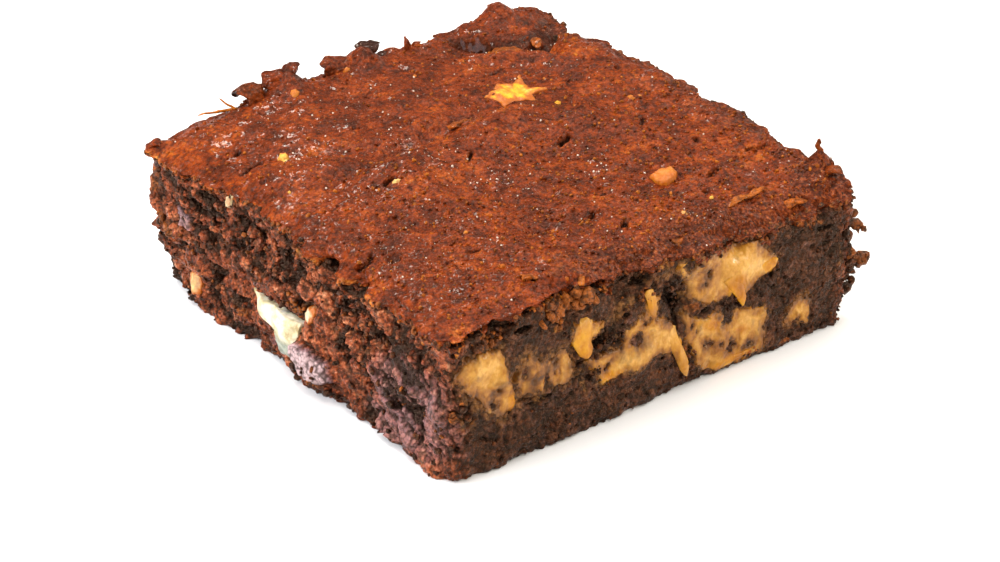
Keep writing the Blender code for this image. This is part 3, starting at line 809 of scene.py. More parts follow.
# the crumb's own relief over the main form: rounded cells of four sizes that crack apart where the nearest
# and next centre are as near, drawn out along the grain, with round pores; rough is 0 cut to 1 torn
def crumbRelief(points, outward, rough):
    along = points @ np.array(crumb["grainWay"])
    drawn = points - crumb["grainShare"] * along[:, None] * np.array(crumb["grainWay"])
    drift = np.stack([softNoise(drawn, 2.3, 40 + k) for k in range(3)], axis=1)
    warped = drawn + 0.6 * drift
    coarse = nearestCrumb(warped, 2.5, 50)
    middle = nearestCrumb(warped, 1.15, 54)
    fine = nearestCrumb(drawn + 0.2 * drift, 0.58, 58)
    grit = nearestCrumb(drawn, 0.36, 61)
    loose = smoothStep(-0.5, 0.6, softNoise(points, 4.6, 62))
    lift = rough * 0.95 * (0.6 - coarse["near"])
    lift += (0.12 + rough * (0.26 + 0.42 * loose)) * (0.55 - middle["near"])
    lift += (0.17 + rough * (0.1 + 0.28 * loose)) * (0.5 - fine["near"])
    lift += (0.14 + 0.08 * rough * loose) * (0.5 - grit["near"])
    gapCoarse = np.exp(-(((coarse["next"] - coarse["near"]) / 0.18) ** 2))
    gapMiddle = np.exp(-(((middle["next"] - middle["near"]) / 0.2) ** 2))
    gapFine = np.exp(-(((fine["next"] - fine["near"]) / 0.22) ** 2))
    lift -= rough * (0.3 + loose) * 0.85 * gapCoarse + rough * (0.15 + loose) * 0.42 * gapMiddle
    lift -= (0.06 + 0.16 * rough * loose) * gapFine + 0.12 * (1 - rough) * loose * gapMiddle
    pores = nearestCrumb(points, 1.9, 64)
    radius = 0.1 + 0.2 * pores["tone"] ** 2
    pore = (pores["tone"] > 0.45) * (1 - smoothStep(radius * 0.5, radius * 1.15, pores["near"]))
    lift -= (0.4 + 0.5 * rough) * pore
    swell = (rough * 0.16 * (1 - coarse["near"]))[:, None] * coarse["away"]
    swell += ((0.04 + 0.2 * rough * loose) * (1 - middle["near"]))[:, None] * middle["away"]
    moved = outward * lift[:, None] + swell
    return moved, lift, 0.45 * middle["tone"] + 0.3 * coarse["tone"] + 0.25 * fine["tone"]


# two neighbouring walls as one closed piece: a grid of columns up the walls, drawn in under the crust and
# over the floor to the block's middle line, with both upright ends closed; the columns past its ends are
# tucked in under the other piece
def makeCrumb(name, names, material):
    place = alongWalls(names, crumb["columns"])
    overlap = len(crumb["overlap"])
    ring = list(corners)
    before = alongWalls([ring[ring.index(names[0]) - 1]], crumb["columns"])
    after = alongWalls([ring[(ring.index(names[-1]) + 1) % 4]], crumb["columns"])
    place = np.concatenate([before[-overlap:], place, after[: overlap + 1]])
    tuck = np.concatenate([crumb["overlap"], np.zeros(len(place) - 2 * overlap), crumb["overlap"][::-1]])
    columns, rows = len(place), crumb["rows"]
    level = np.linspace(0, 1, rows)
    cage = together(*np.tile(place, (rows, 1)).T, np.repeat(level, columns) - 0.5)
    base, outward, torn = blockSurface(cage)
    height = base[:, 2]
    rimHeight = np.tile(height[-columns:], rows)
    lowBand = 1 - smoothStep(3.0, 8.0, height)
    rough = torn * (1 - 0.3 * lowBand)

    thick = np.full(len(base), -9.0)
    film = np.zeros(len(base))
    for face, sign in (("front", -1), ("back", 1)):
        here = outward[:, 1] * sign > 0.7
        thick[here], film[here] = creamCover(base[here, 0], base[here, 2], face)
    covered = smoothStep(0.1, 0.7, thick)
    rust, paintedSheen = np.zeros(len(base)), np.zeros(len(base))
    for wallName, wall in walls.items():
        along = base[:, 1 - wall["axis"]]
        facing = wallShares(outward, wallName)
        rusty = lobeShare(along, height, rustPatches[wallName])
        rust = np.maximum(rust, facing * smoothStep(0, 0.4, rusty))
        # painted sheen: greyish violet colour in patches, in place of a reflection of cool light
        for *patch, strength in paintedSheenPatches.get(wallName, ()):
            inside = smoothStep(0, 0.5, lobeShare(along, height, [patch]))
            paintedSheen = np.maximum(paintedSheen, facing * strength * inside)
    onLeft = wallShares(outward, "left") > 0.5
    for spec in chestnuts.values():
        if spec["in"] == "left":
            inside = outlineField(base[:, 1], height, spec["outline"])
            covered = np.maximum(covered, onLeft * 1.6 * smoothStep(-0.2, 0.5, inside))
    rough = rough * np.clip(1 - 0.8 * covered, 0, 1) * (1 - 0.2 * paintedSheen)
    for wallName, outline, out, strength in plates:
        inside = outlineField(base[:, 1 - walls[wallName]["axis"]], height, outline)
        inside += 0.25 * softNoise(base, 0.8, 67)
        flat = (wallShares(outward, wallName) > 0.5) * smoothStep(-0.1, 0.35, inside)
        rough = rough * (1 - 0.85 * flat)
        paintedSheen = np.maximum(paintedSheen, strength * flat)
        base = base + outward * (out * flat)[:, None]

    moved, lift, tone = crumbRelief(base, outward, rough)
    carved = carvedDepth(base, outward)
    carved += dentDepth(base)
    # the holes lower lift too, so that the painted shade of low places darkens them
    lift = lift - np.maximum(carved, 0)
    sink = carved + 0.42 * covered

    # the foot tucks in over the plate, and the top tucks in under the crust
    ragged = 0.6 + 0.5 * softNoise(base, 2.0, 68) + 0.3 * softNoise(base, 0.8, 69)
    foot = crumb["footTuck"] * (1 - np.clip(height / 1.1, 0, 1)) ** 2 * ragged
    under = smoothStep(1.1, 0.3, rimHeight - height)
    inset = sink + foot + 0.7 * under + np.tile(tuck, rows)
    points = base + moved - outward * inset[:, None]
    points[:, 2] = np.clip(points[:, 2], 0, rimHeight - crumb["underCrust"])
    points[:columns, 2] = 0
    limit = block["widest"] / 2 + 0.8
    points[:, :2] = points[:, :2].clip(-limit, limit)

    low = points[:columns] * (0.94, 0.94, 0)
    # two rings that drop steeply, so that they stay under the crust where it is hollow beside the rim
    shelf = [points[-columns:] * (share, share, 0) + (0, 0, z) for share, z in crumb["shelf"]]
    grid = np.concatenate([low, points, *shelf])
    ends = (grid.reshape(-1, columns, 3)[:, 0], grid.reshape(-1, columns, 3)[:, -1])
    middles = [end.mean(axis=0) * (0.5, 0.5, 1) for end in ends]
    everything = np.concatenate([grid, [[0, 0, crumb["hiddenMiddle"]], [0, 0, 0]], middles])
    top, floor, firstEnd, lastEnd = len(grid) + np.arange(4)
    rings = rows + 3
    lowest, highest = np.arange(columns), (rings - 1) * columns + np.arange(columns)
    upward = np.arange(rings) * columns
    triangles = [
        np.stack([highest[:-1], highest[1:], np.full(columns - 1, top)], axis=1),
        np.stack([lowest[1:], lowest[:-1], np.full(columns - 1, floor)], axis=1),
        fanTriangles(np.concatenate([upward, [top, floor]]), firstEnd),
        fanTriangles(np.concatenate([upward[::-1] + columns - 1, [floor, top]]), lastEnd),
    ]
    pad = np.zeros(columns)
    end = np.zeros(4)
    # lift is the height that the material turns into painted highlight on the grains and painted shade in
    # the low places
    values = {"lift": lift, "tone": tone, "film": film, "torn": torn, "rust": rust, "paintedSheen": paintedSheen}
    values = {key: np.concatenate([pad, numbers, pad, pad, end]) for key, numbers in values.items()}
    faces = [gridQuads(rings, columns), np.concatenate(triangles)]
    makePiece(name, everything, faces, material, ["brownie"], values)
    return points, outward, torn, (thick < -0.3) & (covered < 0.1)


# Crust: the baked skin over the top, its rim folded down over the walls

crust = {
    "across": 290,
    # rings under the rim, as (share of the drop, how far out)
    "skirt": (
        (0.12, 0.0), (0.26, 0.04), (0.4, 0.04), (0.55, 0.0), (0.7, -0.04), (0.85, -0.1), (1.0, -0.2),
        (1.05, -0.6), (0.8, -1.4),
    ),
    "drop": {"front": 1.7, "back": 1.2, "left": 1.2, "right": 1.3},
    "lip": {"front": 0.1, "back": 0.1, "left": 0.05, "right": 0.0},
    "ragged": {"front": 0.5, "back": 0.5, "left": 0.7, "right": 0.7},
    "hiddenRing": 16.0,
    "hiddenMiddle": 15.0,
}

# pale patches on the crust, as (x, y, half lengths, tilt): partly sugar dried to a frost, partly painted
# highlights where the crust glints and on the pale crescent of a ridge
frostAndHighlightPatches = (
    (-9.5, 7.5, 3.2, 1.8, 20), (-11.5, -1.0, 1.6, 1.0, 0), (-9.5, -7.0, 1.4, 0.9, 0),
    (-7.5, -9.3, 1.2, 0.7, 0), (-4.5, -7.5, 1.2, 0.7, 0), (6.0, -14.0, 1.2, 0.7, 0),
    (-31.5, -16.5, 1.8, 0.8, -20), (32.5, -26.0, 1.4, 0.8, 0), (0.0, 6.5, 3.0, 0.8, 30),
    (-20.0, 12.0, 2.4, 1.4, 0), (-32.8, 12.8, 1.0, 1.6, 0), (-14.0, 3.0, 3.0, 1.0, 10),
    (-33.4, -9.0, 0.8, 3.0, 0), (16.5, 16.0, 2.0, 1.0, 20), (24.0, -25.0, 2.0, 1.0, 0),
)

# cracks in the crust: (path, half width, depth)
cracks = (
    (((-31.4, 15.2), (-29.8, 16.0), (-27.6, 16.9)), 0.5, 1.6),
    (((-29.0, 20.6), (-28.0, 21.8)), 0.5, 0.9),
    (((-19.8, -1.4), (-18.4, -0.9)), 0.55, 1.4),
    (((7.4, -4.9), (8.6, -4.5), (9.8, -4.0)), 0.45, 1.3),
    (((-6.6, -2.2), (-5.0, -1.0)), 0.35, 1.0),
    (((-2.2, -22.8), (-1.2, -22.0)), 0.4, 1.1),
    (((0.0, -27.0), (1.0, -26.0)), 0.45, 1.3),
    (((-20.8, -20.3), (-19.2, -20.9)), 0.35, 1.0),
    (((19.2, -22.2), (21.4, -21.8)), 0.35, 0.8),
    (((-6.4, 11.4), (-5.0, 12.6)), 0.4, 0.8),
    (((11.0, 18.2), (13.6, 18.0), (16.4, 19.0)), 0.4, 0.8),
    (((-1.6, 8.4), (2.4, 8.2)), 0.5, 0.7),
    (((-33.2, -13.4), (-31.6, -13.9), (-30.6, -13.0)), 0.4, 0.8),
    (((-18.6, -31.2), (-19.8, -30.2)), 0.35, 0.9),
    (((-16.4, -34.6), (-14.8, -34.0)), 0.5, 0.9),
    (((28.5, -20.0), (31.5, -21.0)), 0.4, 0.9),
    (((20.4, -6.8), (22.4, -5.2)), 0.35, 0.6),
)

# long soft troughs, and ridges where the depth is below zero: (path, half width, depth)
swales = (
    (((-24.0, 3.6), (-14.0, 5.6), (-4.0, 7.2), (4.0, 8.6)), 2.0, 0.75),
    (((-22.0, 8.2), (-10.0, 9.8), (2.0, 11.6)), 2.4, -0.45),
    (((-27.0, -8.0), (-20.0, -12.0), (-14.0, -18.0)), 2.6, 0.35),
    (((6.0, -8.0), (14.0, -6.0), (22.0, -8.0)), 3.0, 0.35),
    (((17.8, 32.0), (20.2, 27.4), (24.4, 25.4), (29.0, 25.8), (32.4, 28.8)), 1.4, 0.6),
)

# (x, y, radius, depth)
pits = (
    (-31.5, 10.5, 0.6, 0.7), (-22.0, 21.5, 0.5, 0.6), (-13.4, 14.8, 0.5, 0.6), (-28.7, -15.5, 1.0, 0.5),
    (-24.2, -21.0, 0.5, 0.7), (3.2, -19.0, 0.5, 0.6), (16.2, -25.0, 0.7, 0.8), (24.5, -14.0, 0.6, 0.8),
    (30.0, -9.0, 0.6, 0.7), (29.0, 8.0, 0.7, 0.7), (-9.6, -17.6, 0.45, 0.6), (-17.0, -12.0, 0.4, 0.5),
    (9.6, 20.0, 0.7, 0.7), (-4.5, 24.0, 0.6, 0.6), (18.2, -12.4, 0.4, 0.6), (-30.8, -28.4, 0.5, 0.6),
)

# bites out of the crust's rim: (wall, place, half width, depth)
notches = (
    ("left", -15.4, 1.7, 1.5), ("left", -9.4, 1.8, 1.9), ("left", -3.6, 1.2, 0.9),
    ("left", 8.4, 1.6, 0.9), ("left", 22.0, 1.4, 0.8), ("front", -31.0, 1.6, 0.5),
    ("front", -6.2, 1.8, 0.7), ("front", 2.4, 2.2, 0.9), ("front", 22.4, 2.0, 0.8),
    ("front", 29.4, 1.4, 1.0), ("right", -22.0, 1.6, 1.2), ("right", -5.0, 2.0, 1.5),
    ("right", 9.0, 1.4, 1.0), ("right", 24.0, 1.8, 1.3), ("back", -20.0, 1.6, 0.9),
    ("back", 14.0, 2.0, 1.1),
)


# how far the rim is drawn in at each place of the outline: noise for each wall, and Gaussian bites
def rimPull(outline, outward):
    pull = np.zeros(len(outline))
    crumbs = nearestCrumb(outline, 1.3, 86)["near"] + 0.6 * nearestCrumb(outline, 0.6, 89)["near"]
    noise = 0.6 * layeredNoise(outline, 3.0, 81, 3) + 0.9 * (crumbs - 0.75)
    for name, wall in walls.items():
        facing = np.clip(outward[:, wall["axis"]] * wall["sign"], 0, 1) ** 2
        pull += facing * (crust["ragged"][name] * noise - crust["lip"][name])
        for wallName, place, halfWide, depth in notches:
            if wallName == name:
                pull += facing * depth * np.exp(-(((outline[:, 1 - wall["axis"]] - place) / halfWide) ** 4))
    return pull


# how coarse the crust is: small rubble along the front right rim and beside the right-hand rim
def rubbleShare(x, y):
    wander = 2.4 * softNoise(together(x, y, 0), 5.0, 97)
    front = smoothStep(-24.0, -32.0, y + wander) * smoothStep(-26.0, -8.0, x)
    right = smoothStep(26.0, 33.0, x + wander)
    return np.clip(front + 0.8 * right, 0, 1)


# the crust's relief: soft noise from 4 mm down to 0.5 mm, grains, scattered pores, rubble, cracks and pits
def crustRelief(flat):
    x, y = flat[:, 0], flat[:, 1]
    near = 0.5 + 0.7 * smoothStep(10.0, -24.0, y + 0.4 * x)
    relief = 0.15 * softNoise(flat, 4.2, 90) + 0.12 * softNoise(flat, 1.9, 91)
    relief += near * (0.13 * softNoise(flat, 0.95, 92) + 0.09 * softNoise(flat, 0.5, 96))
    grain = nearestCrumb(flat + 0.1 * softNoise(flat, 0.8, 93)[:, None], 0.66, 94)
    relief += near * 0.2 * (0.5 - grain["near"]) * (0.4 + 1.2 * grain["tone"])
    rubble = rubbleShare(x, y)
    warped = flat + 0.8 * softNoise(flat, 1.7, 98)[:, None] * (1, -1, 0)
    for size, seed, amount in ((2.6, 99, 0.5), (1.2, 103, 0.45), (0.7, 107, 0.25)):
        lumps = nearestCrumb(warped, size, seed)
        relief += rubble * amount * (0.55 - lumps["near"]) * (0.3 + 1.2 * lumps["tone"])
    bits = nearestCrumb(flat, 2.3, 113)
    relief += 0.26 * (bits["tone"] > 0.8) * (1 - smoothStep(0.1, 0.24, bits["near"]))
    for path, halfWidth, depth in swales:
        relief -= depth * np.exp(-((distanceToPath(x, y, path) / halfWidth) ** 2))
    pores = nearestCrumb(flat, 1.2, 117)
    size = 0.08 + 0.2 * pores["tone"] ** 3
    pit = 0.3 * (pores["tone"] > 0.62) * (1 - smoothStep(0.5 * size, 1.2 * size, pores["near"]))
    ragged = 0.3 * softNoise(flat, 0.7, 121)
    for cx, cy, radius, depth in pits:
        away = np.hypot(x - cx, (y - cy) * 1.2) / radius + ragged
        pit = pit + depth * (1 - smoothStep(0.4, 1.2, away))
    for path, halfWidth, depth in cracks:
        away = distanceToPath(x, y, path) / halfWidth + 1.4 * ragged
        pit = pit + depth * (1 - smoothStep(0.25, 1.15, away))
    return relief - pit, pit, rubble


# the top face as a grid of points moved along its normals by the relief, with a skirt of rings down over
# the walls that a hidden fan closes below
def makeCrust(material):
    n = crust["across"]
    line = np.linspace(-0.5, 0.5, n)
    cageY, cageX = np.meshgrid(line, line, indexing="ij")
    cage = together(cageX.ravel(), cageY.ravel(), 0.5)
    base, outward, _ = blockSurface(cage)
    grid = base.reshape(n, n, 3)
    normal = np.cross(np.gradient(grid, axis=1), np.gradient(grid, axis=0)).reshape(-1, 3)
    normal /= np.linalg.norm(normal, axis=1)[:, None]
    relief, pit, rubble = crustRelief(base * (1, 1, 0))
    reach = np.abs(cage[:, :2]).max(axis=1) * 2
    nearRim = np.clip((reach - 0.9) / 0.1, 0, 1)
    outline = cage * (1, 1, 0) / np.maximum(reach, 0.05)[:, None]
    pull = rimPull(outline * block["side"], outward)
    level = smoothStep(0.35, 0.8, normal[:, 2])
    relief = relief * (0.15 + 0.85 * level)
    # the hollow under the crest at the back is smooth, and painted shade darkens it
    paths = (swales[-1][0], block["swells"][4][0])
    folds = [distanceToPath(base[:, 0], base[:, 1], path) for path in paths]
    foldShade = 1 - smoothStep(0.5, 2.0, np.minimum(*folds) + 0.5 * softNoise(base, 1.6, 136))
    top = base + normal * relief[:, None] - outward * (pull * nearRim**2)[:, None]

    step = np.arange(n)[:-1]
    loop = np.concatenate([step, step * n + n - 1, n * n - 1 - step, (n - 1 - step) * n])
    edge = outline[loop] * block["side"]
    drop = sum(
        np.clip(outward[loop, w["axis"]] * w["sign"], 0, 1) ** 2 * crust["drop"][name]
        for name, w in walls.items()
    )
    uneven = 1 + 0.9 * layeredNoise(edge, 3.0, 122, 3) + 0.5 * softNoise(edge, 0.7, 125)
    drop = drop * uneven.clip(0.25, 2.2)
    height = base[loop, 2]
    skirt, values, gaps = [], [], []
    for share, out in crust["skirt"]:
        lower = cage[loop].copy()
        lower[:, 2] = 0.5 - share * drop / height
        place, _, _ = blockSurface(lower)
        rough = 0.6 * (0.5 - nearestCrumb(place, 1.3, 126)["near"])
        rough += 0.4 * (0.5 - nearestCrumb(place, 0.6, 129)["near"])
        place += outward[loop] * (out - pull[loop] + rough)[:, None]
        place[:, 2] += 0.3 * softNoise(place, 0.9, 132) * share
        # the skirt is drawn in over the wall's holes, and that depth is kept to paint shade under the rim
        gap = np.clip(1.3 * carvedDepth(place, outward[loop]), 0, 1.6)
        place[:, :2] -= outward[loop][:, :2] * gap[:, None]
        gaps.append(gap)
        skirt.append(place)
        values.append(np.full(len(loop), share))
    last = skirt[-1] * (0.9, 0.9, 0) + (0, 0, crust["hiddenRing"])
    everything = np.concatenate([top, *skirt, last, [[0, 0, crust["hiddenMiddle"]]]])
    columns = len(loop)
    body = gridQuads(n, n)
    rings = gridQuads(len(skirt) + 1, columns, start=n * n, wrap=True)
    right = np.roll(loop, -1)
    under = n * n + np.arange(columns)
    joint = np.stack([loop, under, np.roll(under, -1), right], axis=1)
    rings = rings[:, ::-1]
    fan = fanTriangles(len(everything) - 1 - columns + np.arange(columns), len(everything) - 1)[:, ::-1]
    tail = np.zeros(columns + 1)
    frostedAndLit = lobeShare(base[:, 0], base[:, 1], frostAndHighlightPatches)
    attributes = {
        # hollow is painted shade: in the pits and cracks, in the fold under the crest and in the gaps under
        # the rim
        "hollow": np.concatenate([np.clip(pit * level + 0.56 * foldShade, 0, 1.5), *gaps, tail]),
        "edge": np.concatenate([0.55 * nearRim**3, *[0.6 + 0.4 * v for v in values], tail]),
        "rubble": np.concatenate([rubble, np.tile(rubble[loop], len(skirt)), tail]),
        "frostAndHighlight": np.concatenate([frostedAndLit, np.zeros(columns * len(skirt)), tail]),
    }
    faces = [np.concatenate([body, rings, joint]), fan]
    makePiece("brownie_crust", everything, faces, material, ["brownie"], attributes)
    whole = np.concatenate(gaps[1:7]) < 0.2
    return top, normal, reach, np.concatenate(skirt[1:7])[whole], np.tile(outward[loop], (6, 1))[whole]


# Cream: each ribbon runs through the block; its ends are the patches that show

creamMake = {
    "columns": 180, "capRings": 48, "bodyRings": 10, "margin": 1.3, "proud": 0.1, "dive": 1.3, "bow": 3.4,
    "underRim": 1.0, "bodyHalf": 31.5, "widest": 34.3, "lowest": 0.35,
}


# a ribbon as rings of points: front cap from its middle outwards, body, back cap inwards; the caps lie on
# the wall's main form, raised by tanh of the cream field and sunk behind the crumb where it is below zero;
# the body's section is an ellipse, slimmer by a sine in the middle, and its course bends by a sine
def makeRibbon(name, material):
    ribbon = cream[name]
    turn = np.arange(creamMake["columns"]) / creamMake["columns"] * 2 * math.pi
    ringShare = np.arange(creamMake["capRings"] + 1) / creamMake["capRings"]

    def cap(face):
        if face == "front":
            reach = outlineReach(ribbon["front"], ribbon["outline"], turn, creamMake["margin"])
        else:
            reach = np.hypot(ribbon["half"][0] * np.cos(turn), ribbon["half"][1] * np.sin(turn)) + 2.2
        rho = np.outer(ringShare, reach).ravel()
        angle = np.tile(turn, len(ringShare))
        x = (ribbon[face][0] + rho * np.cos(angle)).clip(-creamMake["widest"], creamMake["widest"])
        z = (ribbon[face][1] + rho * np.sin(angle)).clip(creamMake["lowest"], None)
        edge = crustHeight(x, np.full(len(x), walls[face]["sign"] * block["side"] / 2))
        z = np.minimum(z, edge - creamMake["underRim"])
        base, outward = wallPlace(face, x, z)
        field = creamField(x, z, name, face)
        streak = together(x + 0.4 * z, z * 0.35, 0)
        raised = creamMake["proud"] * np.tanh(field / 0.9)
        ripples = 0.1 * softNoise(streak, 1.2, 131) + 0.05 * softNoise(streak, 0.45, 132)
        raised += np.clip(field, 0, 1) * ripples
        raised += 0.25 * np.clip(lobeField(x, z, amberPools), 0, 0.6) * (face == "front")
        raised = np.where(field < 0, creamMake["dive"] * np.tanh(field / 0.9), raised)
        raised = raised - 1.5 * smoothStep(0.93, 1.0, np.repeat(ringShare, len(turn)))
        amber = np.clip(0.5 + lobeField(x, z, amberPools), 0, 1) * (face == "front")
        points = base + outward * raised[:, None]
        shape = (len(ringShare), len(turn))
        return points.reshape(*shape, 3), field.reshape(shape), amber.reshape(shape)

    frontPoints, frontField, frontAmber = cap("front")
    backPoints, backField, backAmber = cap("back")
    share = np.linspace(0, 1, creamMake["bodyRings"])[:, None]
    slim = 0.9 - 0.14 * np.sin(math.pi * share)
    centreX = ribbon["front"][0] + share * (ribbon["back"][0] - ribbon["front"][0])
    centreX = centreX + creamMake["bow"] * np.sin(math.pi * share)
    centreZ = ribbon["front"][1] + share * (ribbon["back"][1] - ribbon["front"][1])
    tilt = np.radians(ribbon["tilt"]) * (1 - share)
    wide, tall = slim * ribbon["half"][0] * np.cos(turn), slim * ribbon["half"][1] * np.sin(turn)
    bodyX = centreX + wide * np.cos(tilt) - tall * np.sin(tilt)
    bodyZ = centreZ + wide * np.sin(tilt) + tall * np.cos(tilt)
    body = together(bodyX, creamMake["bodyHalf"] * (2 * share - 1), bodyZ)
    points, faces = joinTubes([np.concatenate([frontPoints, body, backPoints[::-1]])])
    plain = np.zeros(bodyX.shape)
    depth, amber = (
        closeRings(np.concatenate([front, plain, back[::-1]]))
        for front, back in ((frontField, backField), (frontAmber, backAmber))
    )
    values = {"depth": depth.clip(-1, 3), "amber": amber, "mottle": np.full(len(points), ribbon["mottle"])}
    pieceName = name.replace("chestnut_cream", "cream_ribbon")
    makePiece(pieceName, points, faces, material, [name], values)


# Drips and strings of wet cream that hang over the cut face

# (path as (x, z) from top to tip, radius at the top and at the tip, how far the middle stands out, amber)
drips = (
    (((-14.0, 16.4), (-13.6, 14.2), (-13.2, 12.4), (-12.9, 10.9)), (2.1, 1.1), 0.45, 1.0),
    (((12.4, 15.0), (13.2, 12.8), (13.9, 10.8), (14.3, 9.2)), (2.0, 0.4), 0.4, 1.1),
    (((1.0, 10.2), (2.4, 7.6), (3.5, 4.6), (4.6, 1.9)), (1.3, 0.6), 0.36, 0.6),
    (((17.4, 13.2), (19.4, 13.8), (20.7, 14.2)), (1.3, 0.6), 0.24, 1.1),
    (((-2.6, 17.4), (-2.2, 15.4), (-1.6, 13.2)), (0.9, 0.5), 0.2, 0.9),
    (((9.0, 1.6), (12.0, 1.2), (16.0, 1.8)), (0.5, 0.4), 0.18, 0.9),
)


# each drip is a tube along its path: its radius runs from top to tip and closes to a point at both ends,
# and its section is an ellipse that leans on the wall
def makeDrips(material):
    columns, rings = 24, 36
    turn = np.arange(columns) / columns * 2 * math.pi
    share = (1 - np.cos(np.linspace(0, math.pi, rings + 2))) / 2
    closing = np.clip(share / 0.08, 0, 1) ** 0.5 * np.clip((1 - share) / 0.2, 0, 1) ** 0.5
    standing = 1.5 * smoothStep(0.0, 0.75, share) - 1.0
    tubes, ambers = [], []
    for number, (path, (top, tip), standOut, syrup) in enumerate(drips):
        path = np.array(path)
        spans = np.concatenate([[0], np.cumsum(np.linalg.norm(np.diff(path, axis=0), axis=1))])
        x, z = (np.interp(share * spans[-1], spans, path[:, k]) for k in (0, 1))
        x = x + 0.1 * np.sin(share * 9 + number)
        radius = top + share * (tip - top)
        radius = radius * closing * (1 + 0.12 * np.sin(share * 7 + number))
        centre = wallPlace("front", x, z)[0]
        heading = np.gradient(np.stack([x, z], axis=1), axis=0)
        heading /= np.linalg.norm(heading, axis=1)[:, None]
        aside = radius[:, None] * np.cos(turn)
        out = standOut * (closing[:, None] * np.sin(turn) + standing[:, None])
        x = centre[:, 0, None] + aside * heading[:, 1, None]
        z = centre[:, 2, None] - aside * heading[:, 0, None]
        tubes.append(together(x, centre[:, 1, None] - out - 0.05, z))
        syrupy = syrup * smoothStep(-0.2, 0.5, share)
        ambers.append(closeRings(np.repeat(syrupy[:, None], columns, axis=1)))
    points, faces = joinTubes(tubes)
    whole = np.ones(len(points))
    values = {"depth": 3 * whole, "amber": np.concatenate(ambers), "mottle": 0 * whole}
    makePiece("cream_drips", points, faces, material, (), values)


# Chestnut: broken pieces that show in the crust and in the torn wall

# a lump with the named outline, ringed from its lowest to its highest point: across the outline it is a
# superellipse, and its faces are broken by cells and pitted by noise
def makeChestnut(name, seed, material):
    spec = chestnuts[name]
    columns, rings = 120, 60
    turn = np.arange(columns) / columns * 2 * math.pi
    rise = np.linspace(-math.pi / 2, math.pi / 2, rings + 2)
    reach = outlineReach(spec["at"], spec["outline"], turn, 0.0)
    across = np.abs(np.cos(rise)) ** 0.5
    up = np.sign(np.sin(rise)) * np.abs(np.sin(rise)) ** 0.7
    height = np.where(up > 0, up * spec["proud"], up * spec["deep"])
    a = np.outer(across, reach * np.cos(turn))
    b = np.outer(across, reach * np.sin(turn))
    local = together(a, b, height[:, None]).reshape(-1, 3)
    facets = nearestCrumb(local * (1, 1, 0.6) + 40, spec["facet"], 150 + seed)
    fine = 0.1 * softNoise(local, 0.8, 154 + seed) + 0.06 * softNoise(local, 0.35, 155)
    rough = 0.16 * spec["facet"] * (0.5 - facets["near"]) + fine
    local[:, 2] += rough
    uneven = 1 + 0.05 * softNoise(local, 1.1, 156 + seed) + 0.03 * softNoise(local, 0.5, 157)
    local[:, :2] *= uneven[:, None]
    first, second = spec["at"][0] + local[:, 0], spec["at"][1] + local[:, 1]
    if spec["in"] == "crust":
        points = together(first, second, crustHeight(first, second) + local[:, 2])
    else:
        base, outward = wallPlace(spec["in"], first, second.clip(0.6, None))
        points = base + outward * local[:, 2][:, None]
    points, faces = joinTubes([points.reshape(*a.shape, 3)])
    rim = closeRings(np.repeat(across[:, None], columns, axis=1))  # 1 at the outline, 0 at the middle
    shade = spec["grey"][0] + spec["grey"][1] * smoothStep(6.6, 4.6, points[:, 2])
    melt = spec["melt"] * smoothStep(0.3, 1.0, rim + 0.3 * softNoise(points, 0.9, 158))
    values = {"shade": shade, "ripe": np.full(len(points), spec["ripe"]), "melt": melt}
    pieceName = name.replace("chestnut_", "chestnut_piece_")
    makePiece(pieceName, points, faces, material, [name], values)


# Flakes of crust that curl up from the rim and lie on the top

# (where it starts, as x, y and height over the crust; its way over the crust, in degrees from +X; the angle
# that it starts at; how far it turns over its length; length, width and thickness; tone: 0 as the crust,
# 1 golden, -1 dark)
flakes = (
    ((-17.6, 32.4, -0.4), 100, 80, -170, (6.4, 5.0, 0.6), 0.06),
    ((-14.6, 33.0, -0.6), 60, 80, -140, (5.0, 3.6, 0.8), 0.0),
    ((-11.6, 33.6, -0.6), 30, 50, -100, (3.6, 2.8, 0.9), -0.2),
    ((-20.4, 34.2, -0.2), 172, 16, -20, (6.0, 0.6, 0.4), 1),
    ((-20.2, 33.6, -0.2), 150, 26, 20, (3.4, 0.5, 0.35), 1),
    ((-2.4, 33.2, -0.8), 70, 80, -150, (5.4, 5.0, 0.9), -0.3),
    ((1.4, 33.4, -1.2), 24, 44, -80, (4.6, 3.2, 0.8), -1),
    ((4.4, 33.8, -0.4), 20, 30, -70, (3.0, 2.0, 0.8), -0.9),
    ((10.2, 33.8, -0.6), 120, 88, -20, (2.8, 1.6, 0.7), -0.1),
    ((11.4, 34.0, -0.5), 30, 60, -80, (2.0, 1.2, 0.6), -0.1),
    ((21.4, 27.6, -0.4), -70, 10, -24, (7.4, 2.6, 0.6), 0.3),
    ((27.4, 25.4, -0.6), -120, 12, -20, (4.0, 1.4, 0.5), 0.35),
    ((-3.2, 6.4, -0.2), 8, 14, -30, (4.6, 1.2, 0.5), 0.25),
    ((15.2, -30.0, -0.2), 2, 14, -22, (8.0, 1.1, 0.5), 0.55),
    ((24.0, -32.4, -0.2), -14, 16, -30, (3.4, 1.4, 0.5), 0.4),
    ((-14.0, -34.4, -0.2), 36, 24, -40, (4.6, 1.2, 0.5), 0.7),
    ((3.4, -32.6, -0.2), 20, 18, -34, (3.0, 1.5, 0.6), 0.3),
    ((-20.0, -30.2, -0.2), -30, 20, -40, (2.4, 1.2, 0.5), 0.4),
    ((34.0, -28.6, -0.4), 150, 86, -10, (2.4, 1.0, 0.6), 0.1),
    ((33.4, -30.4, -0.6), -60, 50, -90, (2.8, 1.8, 0.7), 0.1),
    ((-33.6, 33.0, -0.3), 150, 24, -60, (2.2, 1.8, 0.6), 0),
)


